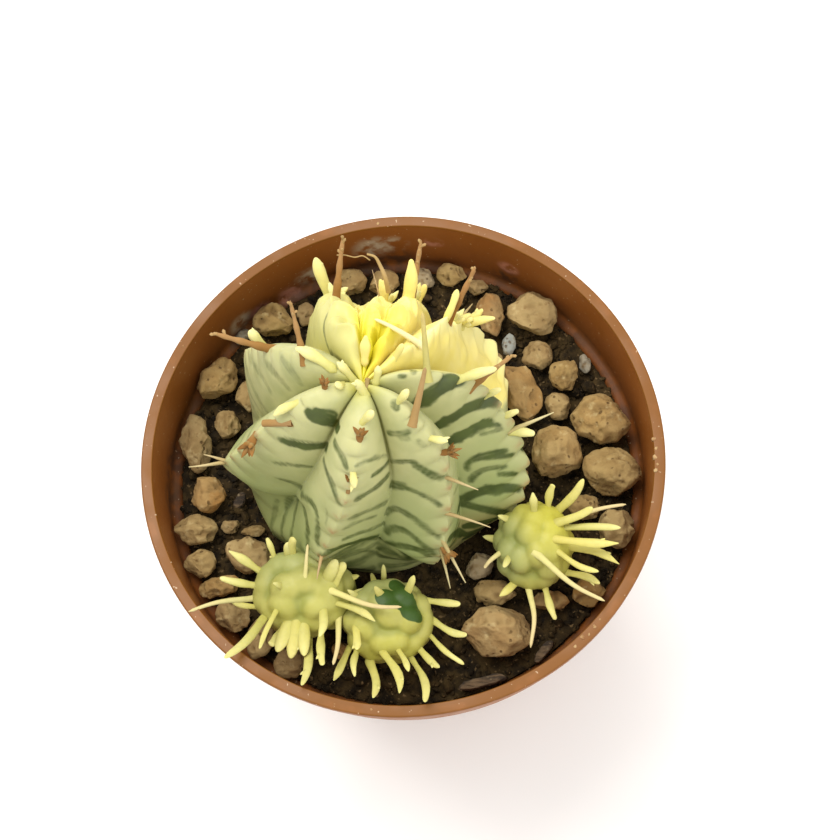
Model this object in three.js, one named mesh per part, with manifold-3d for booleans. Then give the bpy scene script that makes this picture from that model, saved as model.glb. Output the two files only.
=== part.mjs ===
// A small variegated ribbed euphorbia with three offsets, potted in a thin plastic nursery
// pot and top-dressed with pumice. Millimetres, +Z up, origin at the centre of the pot's
// underside. Heights marked "from the rim" are negative inside the pot.
import * as THREE from "three";
import { mergeVertices } from "three/addons/utils/BufferGeometryUtils.js";
import Module from "manifold-3d";

const wasm = await Module();
wasm.setup();

// ---------------------------------------------------------------- driving dimensions
const RIM_Z = 74; // height of the pot
const RIM_R = 42.5; // outer radius of the lip
const LIP_WIDTH = 1.9; // flat top of the lip
const COLLAR_DEPTH = 13.2; // the wide band under the lip, down to the inner ledge
const LEDGE_WIDTH = 1.8; // the step inside the pot where the collar ends
const WALL = 1.1;
const BASE_R = 29;
const FOOT_RING = 4.5; // width of the ring that the pot stands on
const FOOT_LIFT = 1.4; // how far the floor inside that ring is raised
const HOLE_R = 3.5; // drainage holes: one in the middle and a ring of six
const HOLE_RING_R = 16;
const GAP = 0.35; // clearance between neighbouring pieces
const SLIVER = 0.02; // edges shorter than this are closed up after a join
const SOIL_LEVEL = -13.7; // from the rim
const SOIL_LUMP = 0.45;
const POT_SIDES = 48;

const PLANT_X = -4.7; // the plant stands a little off the pot's centre
const PLANT_Y = 4.0;
const RIB_STEPS = 6; // facets from one groove to the next
const NOTCH_PITCH = 3.3; // a crest swells once for each dark stripe
const NOTCH = 0.6;

const COLOURS = {
  pot: 0xa9653a,
  soil: 0x2b211a,
  bark: 0x4a3a2b,
  pumice: 0xb8a382,
  plant: 0xb9c58a,
  offset: 0xd6d77a,
};

// ---------------------------------------------------------------- helpers
const rad = THREE.MathUtils.degToRad;
const mix = THREE.MathUtils.lerp;
const { clamp, smoothstep } = THREE.MathUtils;

// Repeatable random numbers in 0..1
function seeded(seed) {
  let state = seed >>> 0;
  return () => {
    state = (Math.imul(state, 1664525) + 1013904223) >>> 0;
    return state / 4294967296;
  };
}

// Unit vector from a compass angle and a rise above the level, in degrees
function toward(heading, rise) {
  const flat = Math.cos(rad(rise));
  return new THREE.Vector3(
    flat * Math.cos(rad(heading)),
    flat * Math.sin(rad(heading)),
    Math.sin(rad(rise)),
  );
}

function welded(geometry) {
  geometry.deleteAttribute("normal");
  geometry.deleteAttribute("uv");
  return mergeVertices(geometry, 1e-4);
}

// A closed skin: a sphere's vertices are moved to place(around, down), both 0..1
function skin(sides, rings, place) {
  const geometry = new THREE.SphereGeometry(1, sides, rings);
  const point = geometry.getAttribute("position");
  const uv = geometry.getAttribute("uv");
  for (let ring = 0; ring <= rings; ring++) {
    for (let side = 0; side <= sides; side++) {
      const i = ring * (sides + 1) + side;
      const pole = ring === 0 || ring === rings;
      const p = place(pole ? 0 : (side % sides) / sides, ring / rings);
      point.setXYZ(i, p.x, p.y, p.z);
      uv.setXY(i, 0, 0);
    }
  }
  return welded(geometry);
}

function solid(geometry) {
  const index = geometry.index ?? mergeVertices(geometry).index;
  return new wasm.Manifold(
    new wasm.Mesh({
      numProp: 3,
      vertProperties: new Float32Array(geometry.getAttribute("position").array),
      triVerts: new Uint32Array(index.array),
    }),
  );
}

function surface(manifold) {
  const mesh = manifold.getMesh();
  const geometry = new THREE.BufferGeometry();
  geometry.setAttribute("position", new THREE.BufferAttribute(mesh.vertProperties, 3));
  geometry.setIndex(new THREE.BufferAttribute(mesh.triVerts, 1));
  return geometry;
}

// One body without sealed hollows or slivers: the outer skin of the largest piece
function whole(manifold) {
  const pieces = manifold.setTolerance(SLIVER).decompose();
  return pieces.reduce((best, piece) => (piece.volume() > best.volume() ? piece : best));
}

const potted = new THREE.Group();

function add(name, geometry, colour, roughness) {
  const material = new THREE.MeshStandardMaterial({ color: colour, roughness, metalness: 0 });
  const mesh = new THREE.Mesh(geometry, material);
  mesh.name = name;
  potted.add(mesh);
}

function lathe(profile, sides) {
  const points = profile.map(([r, z]) => new THREE.Vector2(r, z));
  const geometry = new THREE.LatheGeometry(points, sides);
  geometry.rotateX(Math.PI / 2);
  return welded(geometry);
}

function rod(radius, low, high, x, y, sides) {
  const geometry = new THREE.CylinderGeometry(radius, radius, high - low, sides);
  geometry.rotateX(Math.PI / 2);
  geometry.translate(x, y, (low + high) / 2);
  return solid(welded(geometry));
}

// ---------------------------------------------------------------- pot
const LEDGE_Z = RIM_Z - COLLAR_DEPTH;
const FLOOR_TOP = FOOT_LIFT + 1.5;
const INNER_R = RIM_R - LIP_WIDTH; // inside of the lip
const LEDGE_R = INNER_R - 0.7 - LEDGE_WIDTH; // inside of the wall just below the ledge
const INNER_BASE_R = BASE_R - 0.3;

// Radius of the inner wall below the ledge
function innerRadius(z) {
  return mix(INNER_BASE_R, LEDGE_R, (z - FLOOR_TOP) / (LEDGE_Z - 0.8 - FLOOR_TOP));
}

function makePot() {
  const body = solid(
    lathe(
      [
        [0, FOOT_LIFT],
        [BASE_R - FOOT_RING, FOOT_LIFT],
        [BASE_R - FOOT_RING + 0.5, 0],
        [BASE_R - 0.4, 0],
        [BASE_R + 0.4, 0.8],
        [LEDGE_R + WALL - 0.2, LEDGE_Z - 2.6],
        [LEDGE_R + WALL + 1.4, LEDGE_Z - 1.6],
        [INNER_R + 0.6, RIM_Z - 2.8],
        [RIM_R - 0.2, RIM_Z - 2.2],
        [RIM_R, RIM_Z - 0.9],
        [RIM_R - 0.5, RIM_Z],
        [INNER_R + 0.4, RIM_Z],
        [INNER_R, RIM_Z - 0.6],
        [INNER_R - 0.7, LEDGE_Z],
        [LEDGE_R, LEDGE_Z - 0.8],
        [INNER_BASE_R, FLOOR_TOP],
        [0, FLOOR_TOP],
      ],
      POT_SIDES,
    ),
  );
  let pot = body.subtract(rod(HOLE_R, -1, FLOOR_TOP + 1, 0, 0, 14));
  for (let turn = 0; turn < 360; turn += 60) {
    const x = HOLE_RING_R * Math.cos(rad(turn));
    const y = HOLE_RING_R * Math.sin(rad(turn));
    pot = pot.subtract(rod(HOLE_R, -1, FLOOR_TOP + 1, x, y, 14));
  }
  return pot;
}

// ---------------------------------------------------------------- main plant
// Crest and groove lines of one rib, from the sunken top down and under the soil:
// radius from the plant's axis, height from the rim.
const CREST = [
  [0, 23.0], [3.0, 24.6], [6.5, 25.2], [10.0, 23.9], [13.5, 20.8], [16.5, 16.6],
  [19.2, 11.4], [21.8, 5.4], [23.6, 0.5], [23.8, -3.0], [22.8, -6.6], [21.5, -10.2],
  [20.6, -13.6], [15.0, -20.0], [7.0, -24.0], [0, -24.5],
];
const GROOVE = [
  [0, 23.0], [1.5, 22.9], [3.8, 22.3], [6.6, 20.0], [9.2, 16.4], [11.6, 12.0],
  [13.8, 7.6], [15.8, 2.6], [17.3, -1.8], [18.9, -5.2], [20.1, -8.4], [20.4, -11.2],
  [20.0, -14.0], [14.0, -20.0], [6.5, -24.0], [0, -24.5],
];
const line = (points) =>
  new THREE.CatmullRomCurve3(points.map(([r, z]) => new THREE.Vector3(r, 0, z)));
const crestLine = line(CREST);
const grooveLine = line(GROOVE);

// Each rib's compass angle at even steps along its crest, its reach as a part of the
// common profile, how far the groove after it bulges low down, and how much rounder than
// the others it is across. They run anticlockwise.
const RIBS = [
  { name: "west", turns: [194, 199, 198, 193, 190], reach: 1.03, bulge: 1.8, full: 1 },
  { name: "south", turns: [281, 268, 259.5, 250.5, 247], reach: 0.97, bulge: 0.6, full: 1 },
  { name: "south_east", turns: [331, 323, 317.5, 301.5, 295], reach: 0.97, bulge: 0, full: 1 },
  { name: "east", turns: [366, 366, 364, 348, 332], reach: 1.08, bulge: 0, full: 1 },
  { name: "north_east", turns: [390, 397, 407, 405, 384], reach: 1.02, bulge: 0, full: 1 },
  { name: "north_a", turns: [419, 424, 429, 431, 431], reach: 0.96, bulge: 0, full: 1.25 },
  { name: "north_b", turns: [440, 442, 443, 443, 443], reach: 0.88, bulge: 0, full: 1.3 },
  { name: "north_west", turns: [458, 464, 467, 468, 469], reach: 1.0, bulge: 0, full: 1.9 },
  { name: "far_west", turns: [519, 516, 511, 507, 506], reach: 1.07, bulge: 0, full: 1.1 },
];
const FIRST_TURN = 0.05; // where along the crest the first angle holds
const TURN_STEP = 0.15; // and how far apart the others are

function ribAngle({ turns }, along) {
  const last = turns.length - 1;
  const at = clamp((along - FIRST_TURN) / TURN_STEP, 0, last);
  const i = Math.min(Math.floor(at), last - 1);
  const t = at - i;
  const slope = (k) => (turns[Math.min(k + 1, last)] - turns[Math.max(k - 1, 0)]) / 2;
  const rise = turns[i + 1] - turns[i];
  const square = 3 * rise - 2 * slope(i) - slope(i + 1);
  const cube = slope(i) + slope(i + 1) - 2 * rise;
  return turns[i] + slope(i) * t + square * t * t + cube * t * t * t;
}

const crestLength = crestLine.getLength();

// Point of the ribbed body: rib number, side -1..1 from groove to groove, along 0..1
function bodyPoint(number, side, along, grow = 0) {
  const rib = RIBS[number];
  const other = RIBS[(number + (side < 0 ? RIBS.length - 1 : 1)) % RIBS.length];
  let otherAngle = ribAngle(other, along);
  const angle = ribAngle(rib, along);
  if (side < 0 && otherAngle > angle) otherAngle -= 360;
  if (side > 0 && otherAngle < angle) otherAngle += 360;
  const spacing = Math.abs(otherAngle - angle);
  const width = Math.abs(side);
  const sharp = rib.full * mix(1.9, 1.12, smoothstep(along, 0.1, 0.42));
  const ridge = 1 - Math.pow(width, sharp);
  const depth = clamp(spacing / 36, 0.5, 1);
  const open = smoothstep(along, 0, 0.5);
  const reach = mix(1, mix(rib.reach, (rib.reach + other.reach) / 2, width), open);
  const crest = crestLine.getPoint(along);
  const groove = crest.clone().lerp(grooveLine.getPoint(along), depth);
  const p = groove.lerp(crest, ridge);
  const beat = Math.cos((2 * Math.PI * along * crestLength) / NOTCH_PITCH);
  const swell = smoothstep(along, 0.1, 0.25) * (1 - smoothstep(along, 0.7, 0.8));
  const notch = NOTCH * beat * Math.pow(ridge, 6) * swell;
  const low = smoothstep(along, 0.5, 0.62) * (1 - smoothstep(along, 0.84, 0.95));
  const bulge = (side > 0 ? rib.bulge : other.bulge) * width * width * low;
  const r = p.x === 0 ? 0 : p.x * reach + notch + bulge + grow;
  const turn = rad(mix(angle, (angle + otherAngle) / 2, width));
  const z = along > 0.85 ? p.z - grow * smoothstep(along, 0.85, 0.9) : p.z;
  return new THREE.Vector3(
    PLANT_X + r * Math.cos(turn),
    PLANT_Y + r * Math.sin(turn),
    RIM_Z + z,
  );
}

// Rings fall on the swellings and the notches between them, with few under the soil
const halfNotch = NOTCH_PITCH / 2 / crestLength;
const bodyRings = [];
for (let along = 0; along < 0.78; along += halfNotch) bodyRings.push(along);
bodyRings.push(0.83, 0.9, 1);

function ribbedBody(grow) {
  const sides = RIBS.length * RIB_STEPS;
  return solid(
    skin(sides, bodyRings.length - 1, (around, down) => {
      const step = Math.round(around * sides);
      const side = ((step % RIB_STEPS) / RIB_STEPS) * 2 - 1;
      const along = bodyRings[Math.round(down * (bodyRings.length - 1))];
      return bodyPoint(Math.floor(step / RIB_STEPS), side, along, grow);
    }),
  );
}

// Where the crest of a rib is `out` millimetres from the plant's axis, above its widest
function crestPoint(name, out) {
  const number = RIBS.findIndex((rib) => rib.name === name);
  const axis = new THREE.Vector3(PLANT_X, PLANT_Y, 0);
  let along = 0.02;
  while (along < 0.6) {
    const p = bodyPoint(number, 0, along);
    if (Math.hypot(p.x - axis.x, p.y - axis.y) >= out) break;
    along += 0.004;
  }
  return bodyPoint(number, 0, along);
}

// ---------------------------------------------------------------- outgrowths
// Half-width along an outgrowth, 0 at its root and 1 at its tip
const TAPERS = {
  leaf: (s) => 0.62 + 0.38 * Math.sin(Math.PI * clamp(s * 0.95, 0, 1)) - 0.25 * s * s,
  stalk: (s) => 1 - 0.55 * s,
  spine: (s) => 1 - 0.6 * s,
  cup: (s) => 0.7 + 0.45 * s,
};
const THICKNESS = { leaf: 0.62, stalk: 0.9, spine: 1, cup: 1 };
const SIDES = { leaf: 5, stalk: 4, spine: 3, cup: 5 };
const STATIONS = {
  leaf: [1, 0.93, 0.6, 0.2, 0],
  stalk: [1, 0.94, 0.5, 0.12, 0],
  spine: [1, 0.5, 0.1, 0],
  cup: [1, 0.95, 0.12, 0],
};

// A finger that starts inside its parent and bends from one direction toward another
function finger(kind, root, heading, rise, long, wide, droop) {
  const sink = kind === "spine" ? 1.0 : 1.3;
  const lead = toward(heading, rise);
  const end = toward(heading, rise - droop);
  const across = new THREE.Vector3().crossVectors(lead, new THREE.Vector3(0, 0, 1)).normalize();
  const start = root.clone().addScaledVector(lead, -sink);
  const middle = root.clone().addScaledVector(lead, long * 0.5);
  const tip = middle.clone().addScaledVector(end, long * 0.5);
  const path = new THREE.QuadraticBezierCurve3(start, middle, tip);
  const stations = STATIONS[kind];
  const rings = stations.length - 1;
  return solid(
    skin(SIDES[kind], rings, (around, down) => {
      const s = stations[Math.round(down * rings)];
      const centre = path.getPoint(s);
      if (down === 0 || down === 1) return centre;
      const along = path.getTangent(s);
      const up = new THREE.Vector3().crossVectors(along, across);
      const half = Math.max((wide / 2) * TAPERS[kind](s), 0.3);
      const turn = 2 * Math.PI * around;
      return centre
        .addScaledVector(across, half * Math.cos(turn))
        .addScaledVector(up, Math.max(half * THICKNESS[kind], 0.3) * Math.sin(turn));
    }),
  );
}

// kind, rib, distance out along its crest, heading, rise, length, width, droop
const ON_THE_PLANT = [
  ["leaf", "south", 2.0, 127, 43, 2.6, 1.5, 0],
  ["leaf", "east", 2.2, 73, 45, 2.2, 1.2, 0],
  ["leaf", "far_west", 1.6, 136, 37, 3.3, 1.5, 0],
  ["leaf", "north_b", 2.5, 85, 35, 3.5, 1.6, 0],
  ["leaf", "north_east", 6.0, 46, 47, 2.8, 1.2, 0],
  ["leaf", "south_east", 6.7, 35, 47, 2.7, 1.3, 0],
  ["stalk", "south_east", 9.7, 71, 44, 8.6, 1.3, 0],
  ["stalk", "east", 9.8, 94, 39, 9.6, 1.2, 0],
  ["leaf", "south", 6.8, 29, 46, 2.8, 1.4, 0],
  ["cup", "south", 9.3, 74, 54, 2.2, 1.3, 0],
  ["leaf", "south", 13.1, 276, 0, 2.6, 1.3, 25],
  ["stalk", "south", 15.1, 70, 53, 3.1, 1.1, 0],
  ["leaf", "south_east", 12.8, 340, 29, 3.1, 1.3, 20],
  ["cup", "south_east", 14.9, 358, 25, 3.6, 1.2, 0],
  ["leaf", "north_west", 21.3, 114, 35, 6.9, 2.0, 0],
  ["stalk", "north_west", 16.9, 79, 40, 9.8, 1.3, 0],
  ["leaf", "north_west", 23.0, 30, 47, 2.8, 1.1, 0],
  ["leaf", "north_b", 18.5, 100, 33, 4.0, 1.0, 0],
  ["spine", "north_b", 17.0, 105, 55, 6.5, 0.8, 75],
  ["leaf", "north_b", 17.5, 83, 36, 3.6, 1.7, 0],
  ["leaf", "north_a", 17.6, 79, 43, 6.4, 2.1, 0],
  ["stalk", "north_a", 19.1, 76, 40, 9.6, 1.3, 0],
  ["leaf", "north_a", 22.0, 60, 40, 3.0, 1.2, 0],
  ["leaf", "north_east", 17.7, 62, 30, 5.5, 1.2, 0],
  ["leaf", "north_east", 22.5, 40, 36, 4.0, 1.7, 0],
  ["stalk", "north_east", 18.6, 55, 38, 10.0, 1.4, 0],
  ["spine", "north_east", 20.5, 38, 35, 4.2, 0.8, 0],
  ["leaf", "north_east", 22.0, 8, 26, 5.2, 1.6, 20],
  ["stalk", "north_east", 10.2, 151, 22, 7.5, 1.1, 30],
  ["stalk", "far_west", 17.2, 173, 26, 9.1, 1.4, 0],
  ["leaf", "far_west", 17.7, 144, 46, 4.2, 1.7, 0],
  ["stalk", "far_west", 9.5, 103, 38, 8.9, 1.1, 0],
  ["leaf", "far_west", 5.0, 148, 14, 6.0, 1.9, 20],
  ["cup", "west", 5.5, 82, 60, 2.2, 1.1, 0],
  ["leaf", "west", 3.0, 225, 55, 1.8, 1.4, 0],
  ["leaf", "west", 10.3, 202, 5, 4.0, 1.4, 35],
  ["stalk", "west", 14.9, 350, 30, 4.4, 1.3, 0],
  ["cup", "west", 18.0, 250, 20, 3.6, 1.7, 0],
  ["spine", "west", 24.2, 189, 0, 6.0, 0.9, 0],
  ["spine", "west", 24.0, 157, -20, 4.8, 0.8, 0],
  ["leaf", "east", 14.5, 14, 14, 5.8, 1.6, 10],
  ["stalk", "east", 16.7, 29, 30, 7.9, 1.2, 0],
  ["leaf", "east", 21.4, 15, 29, 2.4, 1.1, 0],
  ["spine", "east", 24.0, 8, 0, 5.8, 0.8, 0],
  ["spine", "south_east", 17.5, 334, 11, 5.2, 0.8, 0],
  ["spine", "south_east", 20.2, 340, 8, 7.0, 0.8, 0],
  ["spine", "south_east", 22.3, 300, -22, 7.4, 0.9, 0],
  ["spine", "south", 22.4, 257, -5, 4.0, 0.8, 30],
];

function makePlant() {
  let plant = ribbedBody(0);
  for (const [kind, rib, out, heading, rise, long, wide, droop] of ON_THE_PLANT) {
    const root = crestPoint(rib, out);
    plant = plant.add(finger(kind, root, heading, rise, long, wide, droop));
  }
  return whole(plant);
}

// ---------------------------------------------------------------- offsets
// A young head: a ball of swollen leaf bases on a short stem, with finger-like leaves.
// `size` is half its width, depth and height. Each finger: compass angle and lift of its
// root on the ball, heading, rise, length, width, droop.
const OFFSETS = [
  {
    name: "offset_west",
    centre: [-15.8, -21, -6.6],
    size: [8, 7.1, 6.7],
    fingers: [
      [155, 20, 147, 10, 5.8, 1.9, 0], [175, 20, 171, 10, 5.6, 1.7, 0],
      [190, 10, 198, 38, 11.1, 1.1, 0], [200, 10, 176, 28, 4.3, 1.4, 0],
      [220, 20, 244, 42, 13, 2, 0], [230, 45, 252, 24, 8.4, 1.2, 0],
      [245, 15, 245, 23, 3.5, 1.9, 0], [265, 15, 290, 25, 3.2, 1.7, 0],
      [275, 0, 273, 38, 12.3, 1.8, 0], [305, 45, 271, 19, 4.7, 1.8, 0],
      [292, 20, 274, 25, 7.6, 1.7, 0], [315, 20, 271, 30, 9.7, 1.1, 0],
      [5, 50, 64, 26, 3.5, 1.9, 0], [345, 52, 339, 14, 12.2, 1.1, 0],
      [330, 40, 334, 19, 8.1, 1.5, 0], [105, 45, 85, 50, 3.2, 1.8, 0],
      [130, 30, 110, 30, 3.2, 1.2, 0], [60, 80, 84, 28, 4.8, 0.8, 0],
    ],
  },
  {
    name: "offset_south",
    centre: [-2.4, -25.7, -7],
    size: [7.1, 6.6, 6.3],
    fingers: [
      [25, 15, 350, 13, 5.4, 1.5, 0], [358, 10, 327, 21, 6.6, 1.5, 15],
      [338, 8, 313, 23, 7.6, 1.2, 0], [315, 12, 310, 28, 6.1, 1.6, 0],
      [300, 8, 293, 41, 12.9, 1.6, 0], [265, 35, 298, 36, 11.5, 1.7, 0],
      [288, 35, 298, 39, 5.8, 1.3, 0], [248, 5, 285, 42, 11, 1.8, 0],
      [230, 15, 264, 34, 5.1, 1.4, 0], [218, 5, 257, 47, 12.4, 1.5, 0],
      [210, 45, 276, 23, 4, 1.7, 0], [50, 45, 60, 45, 3.2, 1.6, 0],
    ],
  },
  {
    name: "offset_east",
    centre: [21.2, -13.5, -6.1],
    size: [6.3, 6.9, 6.2],
    fingers: [
      [65, 35, 80, 39, 3.9, 1.7, 0], [50, 25, 41, 31, 6.7, 2, 0],
      [30, 38, 14, 17, 4.8, 1.7, 0], [32, 22, 13, 15, 9.7, 1, 0],
      [18, 22, 355, 17, 7.1, 1.5, 0], [352, 42, 349, 14, 7.8, 1.9, 0],
      [350, 16, 339, 19, 7, 1.8, 0], [330, 35, 322, 10, 5.6, 1.3, 0],
      [320, 5, 337, 22, 6.8, 1.6, -25], [285, 62, 318, 11, 12.8, 1.3, 0],
      [285, 0, 284, 15, 5.7, 1.6, 20], [262, 0, 275, 22, 10.1, 1.1, 0],
      [240, 0, 226, 21, 3.2, 1.8, 20], [200, 30, 224, 16, 4.1, 1, 0],
      [90, 55, 95, 50, 3.2, 1.6, 0],
    ],
  },
];
const BUD_SWELL = 0.12; // how far a leaf base stands proud, as a part of the head
const STEM_R = 2.4;
const STEM_FOOT = -19; // from the rim

function headPoint({ centre, size, fingers }, direction, grow = 0) {
  let swell = 0;
  for (const [turn, lift] of fingers) {
    const angle = direction.angleTo(toward(turn, lift));
    swell = Math.max(swell, Math.exp(-Math.pow(angle / rad(17), 2)));
  }
  const out = direction.clone().multiply(new THREE.Vector3(...size));
  out.multiplyScalar(1 + BUD_SWELL * (swell - 0.5)).addScaledVector(direction, grow);
  return out.add(new THREE.Vector3(centre[0], centre[1], RIM_Z + centre[2]));
}

function headBall(offset, grow) {
  return solid(
    skin(18, 10, (around, down) =>
      headPoint(offset, toward(360 * around, 90 - 180 * down), grow),
    ),
  );
}

function makeOffset(offset, clear) {
  const [x, y, fromRim] = offset.centre;
  let head = headBall(offset, 0);
  head = head.add(rod(STEM_R, RIM_Z + STEM_FOOT, RIM_Z + fromRim - 3, x, y, 10));
  for (const taken of clear) head = head.subtract(taken);
  for (const [turn, lift, heading, rise, long, wide, droop] of offset.fingers) {
    const root = headPoint(offset, toward(turn, lift));
    const kind = wide > 1.2 ? "leaf" : "stalk";
    head = head.add(finger(kind, root, heading, rise, long, wide, droop));
  }
  return whole(head);
}

// ---------------------------------------------------------------- soil
const SOIL_Z = RIM_Z + SOIL_LEVEL;

function soilHeight(x, y) {
  const wave = Math.sin(0.55 * x + 1.3) * Math.cos(0.47 * y - 0.7);
  const ripple = 0.6 * Math.sin(0.9 * x - 0.8 * y);
  return SOIL_Z + (SOIL_LUMP * (wave + ripple)) / 1.6;
}

function makeSoil(plantHole, stemHoles) {
  const low = FLOOR_TOP + GAP;
  const wallGap = innerRadius(SOIL_Z - 1) - GAP;
  const rings = [36, 33, 29.5, 26, 22.5, 19, 15, 10, 5, 0];
  const profile = [[0, low], [innerRadius(low) - GAP, low], [wallGap, SOIL_Z - 1]];
  for (const r of rings) profile.push([r, SOIL_Z]);
  const geometry = lathe(profile, 36);
  const point = geometry.getAttribute("position");
  for (let i = 0; i < point.count; i++) {
    if (point.getZ(i) > SOIL_Z - 0.5) point.setZ(i, soilHeight(point.getX(i), point.getY(i)));
  }
  let soil = solid(geometry).subtract(plantHole);
  for (const hole of stemHoles) soil = soil.subtract(hole);
  return soil;
}

// ---------------------------------------------------------------- pumice and bark
// x, y, half-length, half-width, half-height, turn
const STONES = [
  [8.2, 37.1, 2.7, 2.2, 1.8, 0], [11.8, 34, 1.9, 1.5, 1.2, 0],
  [15.3, 29.5, 4.1, 2.3, 1.9, 97], [23, 29.7, 4.6, 4, 3.3, 145],
  [19.2, 25.8, 2.1, 1.3, 1.1, 80], [23.2, 22.8, 2.8, 2.5, 2, 0],
  [26.4, 18.6, 2.9, 2.6, 2.1, 90], [29.9, 19.9, 1.7, 1.1, 0.9, 90],
  [24.9, 13, 2.6, 2.3, 1.9, 90], [20, 15.1, 5.6, 3.4, 2.8, 110],
  [17.1, 22.1, 1.9, 1.5, 1.2, 150], [32.2, 9.1, 5, 4.2, 3.4, 0],
  [23.5, 1.9, 5.1, 4.3, 3.5, 80], [33.4, -0, 5, 4.1, 3.4, 170],
  [19.4, 0.7, 2.6, 1.7, 1.4, 70], [29.9, -5.6, 2.8, 2.1, 1.7, 0],
  [35.7, -9.7, 3.7, 3.2, 2.6, 90], [23.7, -19.5, 3.4, 1.9, 1.5, 0],
  [29.4, -20.3, 2.9, 2.4, 1.9, 0], [15.9, -27, 6.1, 4.3, 3.4, 175],
  [16.2, -21.2, 3.6, 2.2, 1.8, 0], [13.6, -16.3, 2.6, 2.2, 1.8, 60],
  [-22.6, 28.2, 3.6, 3.1, 2.5, 0], [-17.9, 29.6, 2.2, 1.7, 1.4, 90],
  [-9.6, 35.4, 2.9, 2.5, 2, 0], [-4, 35.2, 2.7, 2.4, 1.9, 0],
  [3.5, 36, 2.5, 2.2, 1.8, 0], [-32.6, 17.2, 4.1, 3.2, 2.6, 65],
  [-28.7, 14.8, 3, 2.1, 1.7, 80], [-31, 9.2, 2.9, 2.3, 1.8, 70],
  [-34.6, 5.8, 5.3, 2.9, 2.3, 100], [-30, 27.3, 1.7, 1.1, 0.9, 50],
  [-33.8, -3.8, 3.6, 3, 2.4, 110], [-34.5, -9.3, 3.7, 2.7, 2.2, 0],
  [-29.6, -9, 1.7, 1.4, 1.2, 0], [-33.1, -14.1, 2.7, 2.5, 2, 60],
  [-27, -13.9, 4.4, 3.2, 2.6, 160], [-25.4, -9, 2.2, 1.1, 0.9, 10],
  [-29.3, -18.7, 3.6, 1.9, 1.5, 15], [-27.5, -23.3, 3.2, 2.8, 2.2, 110],
  [-23.1, -28.6, 3.9, 2.3, 1.8, 75], [-18.9, -31.4, 2.7, 2.4, 1.9, 0],
  [-10.5, -29.5, 1.7, 1.4, 1.2, 0],
];
// x, y, length, width, height, turn
const BARK = [
  [12.6, -34.6, 9.0, 1.9, 1.4, 14], [22.6, -29.6, 5.0, 1.8, 1.2, 50],
  [-28.0, -3.8, 3.4, 2.0, 1.2, 60],
];
const ROOM = 39.7; // nothing on the soil reaches further from the pot's axis

// How far an oval lying at `turn` reaches in the direction of `angle`
function reachOf(stone, angle) {
  const [, , a, b, , turn] = stone;
  const t = angle - rad(turn);
  return Math.hypot(a * Math.cos(t), b * Math.sin(t));
}

// Moves stones apart until none touches another, the plant, an offset or the wall
function settle(stones, keepOut) {
  const placed = stones.map((stone) => [...stone]);
  for (let round = 0; round < 400; round++) {
    for (let i = 0; i < placed.length; i++) {
      const a = placed[i];
      for (const [x, y, r] of keepOut) {
        const angle = Math.atan2(a[1] - y, a[0] - x);
        const short = r + reachOf(a, angle) + GAP - Math.hypot(a[0] - x, a[1] - y);
        if (short > 0) {
          a[0] += short * Math.cos(angle);
          a[1] += short * Math.sin(angle);
        }
      }
      for (let j = 0; j < i; j++) {
        const b = placed[j];
        const angle = Math.atan2(a[1] - b[1], a[0] - b[0]);
        const need = reachOf(a, angle) + reachOf(b, angle) + GAP;
        const short = need - Math.hypot(a[0] - b[0], a[1] - b[1]);
        if (short > 0) {
          a[0] += 0.5 * short * Math.cos(angle);
          a[1] += 0.5 * short * Math.sin(angle);
          b[0] -= 0.5 * short * Math.cos(angle);
          b[1] -= 0.5 * short * Math.sin(angle);
        }
      }
      const angle = Math.atan2(a[1], a[0]);
      const over = Math.hypot(a[0], a[1]) + reachOf(a, angle) - ROOM;
      if (over > 0) {
        a[0] -= over * Math.cos(angle);
        a[1] -= over * Math.sin(angle);
      }
    }
  }
  return placed;
}

// The highest soil under an oval, so that a piece rests on it
function soilUnder(stone) {
  let top = soilHeight(stone[0], stone[1]);
  for (let turn = 0; turn < 360; turn += 30) {
    for (const part of [0.5, 1]) {
      const r = part * reachOf(stone, rad(turn));
      const x = stone[0] + r * Math.cos(rad(turn));
      const y = stone[1] + r * Math.sin(rad(turn));
      top = Math.max(top, soilHeight(x, y) - (part === 1 ? 0.6 : 0));
    }
  }
  return top;
}

function makeStone(stone, seed) {
  const [x, y, a, b, c, turn] = stone;
  const random = seeded(seed);
  const geometry = welded(new THREE.IcosahedronGeometry(1, 1));
  const point = geometry.getAttribute("position");
  for (let i = 0; i < point.count; i++) {
    const size = 0.93 + 0.1 * random();
    point.setXYZ(i, point.getX(i) * size * a, point.getY(i) * size * b, point.getZ(i) * size * c);
  }
  geometry.rotateZ(rad(turn));
  geometry.translate(x, y, soilUnder(stone) + c + GAP);
  return geometry;
}

function makeBark([x, y, long, wide, high, turn], seed) {
  const random = seeded(seed);
  const outline = new THREE.Shape();
  const corners = [[-0.5, -0.4], [-0.1, -0.5], [0.45, -0.42], [0.5, 0.1], [0.3, 0.5], [-0.46, 0.36]];
  corners.forEach(([u, v], i) => {
    const px = u * long * (0.9 + 0.1 * random());
    const py = v * wide * (0.85 + 0.15 * random());
    if (i === 0) outline.moveTo(px, py);
    else outline.lineTo(px, py);
  });
  const geometry = new THREE.ExtrudeGeometry(outline, { depth: high, bevelEnabled: false });
  geometry.rotateZ(rad(turn));
  const base = soilUnder([x, y, long / 2, wide / 2, high / 2, turn]);
  geometry.translate(x, y, base + GAP);
  return welded(geometry);
}

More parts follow.
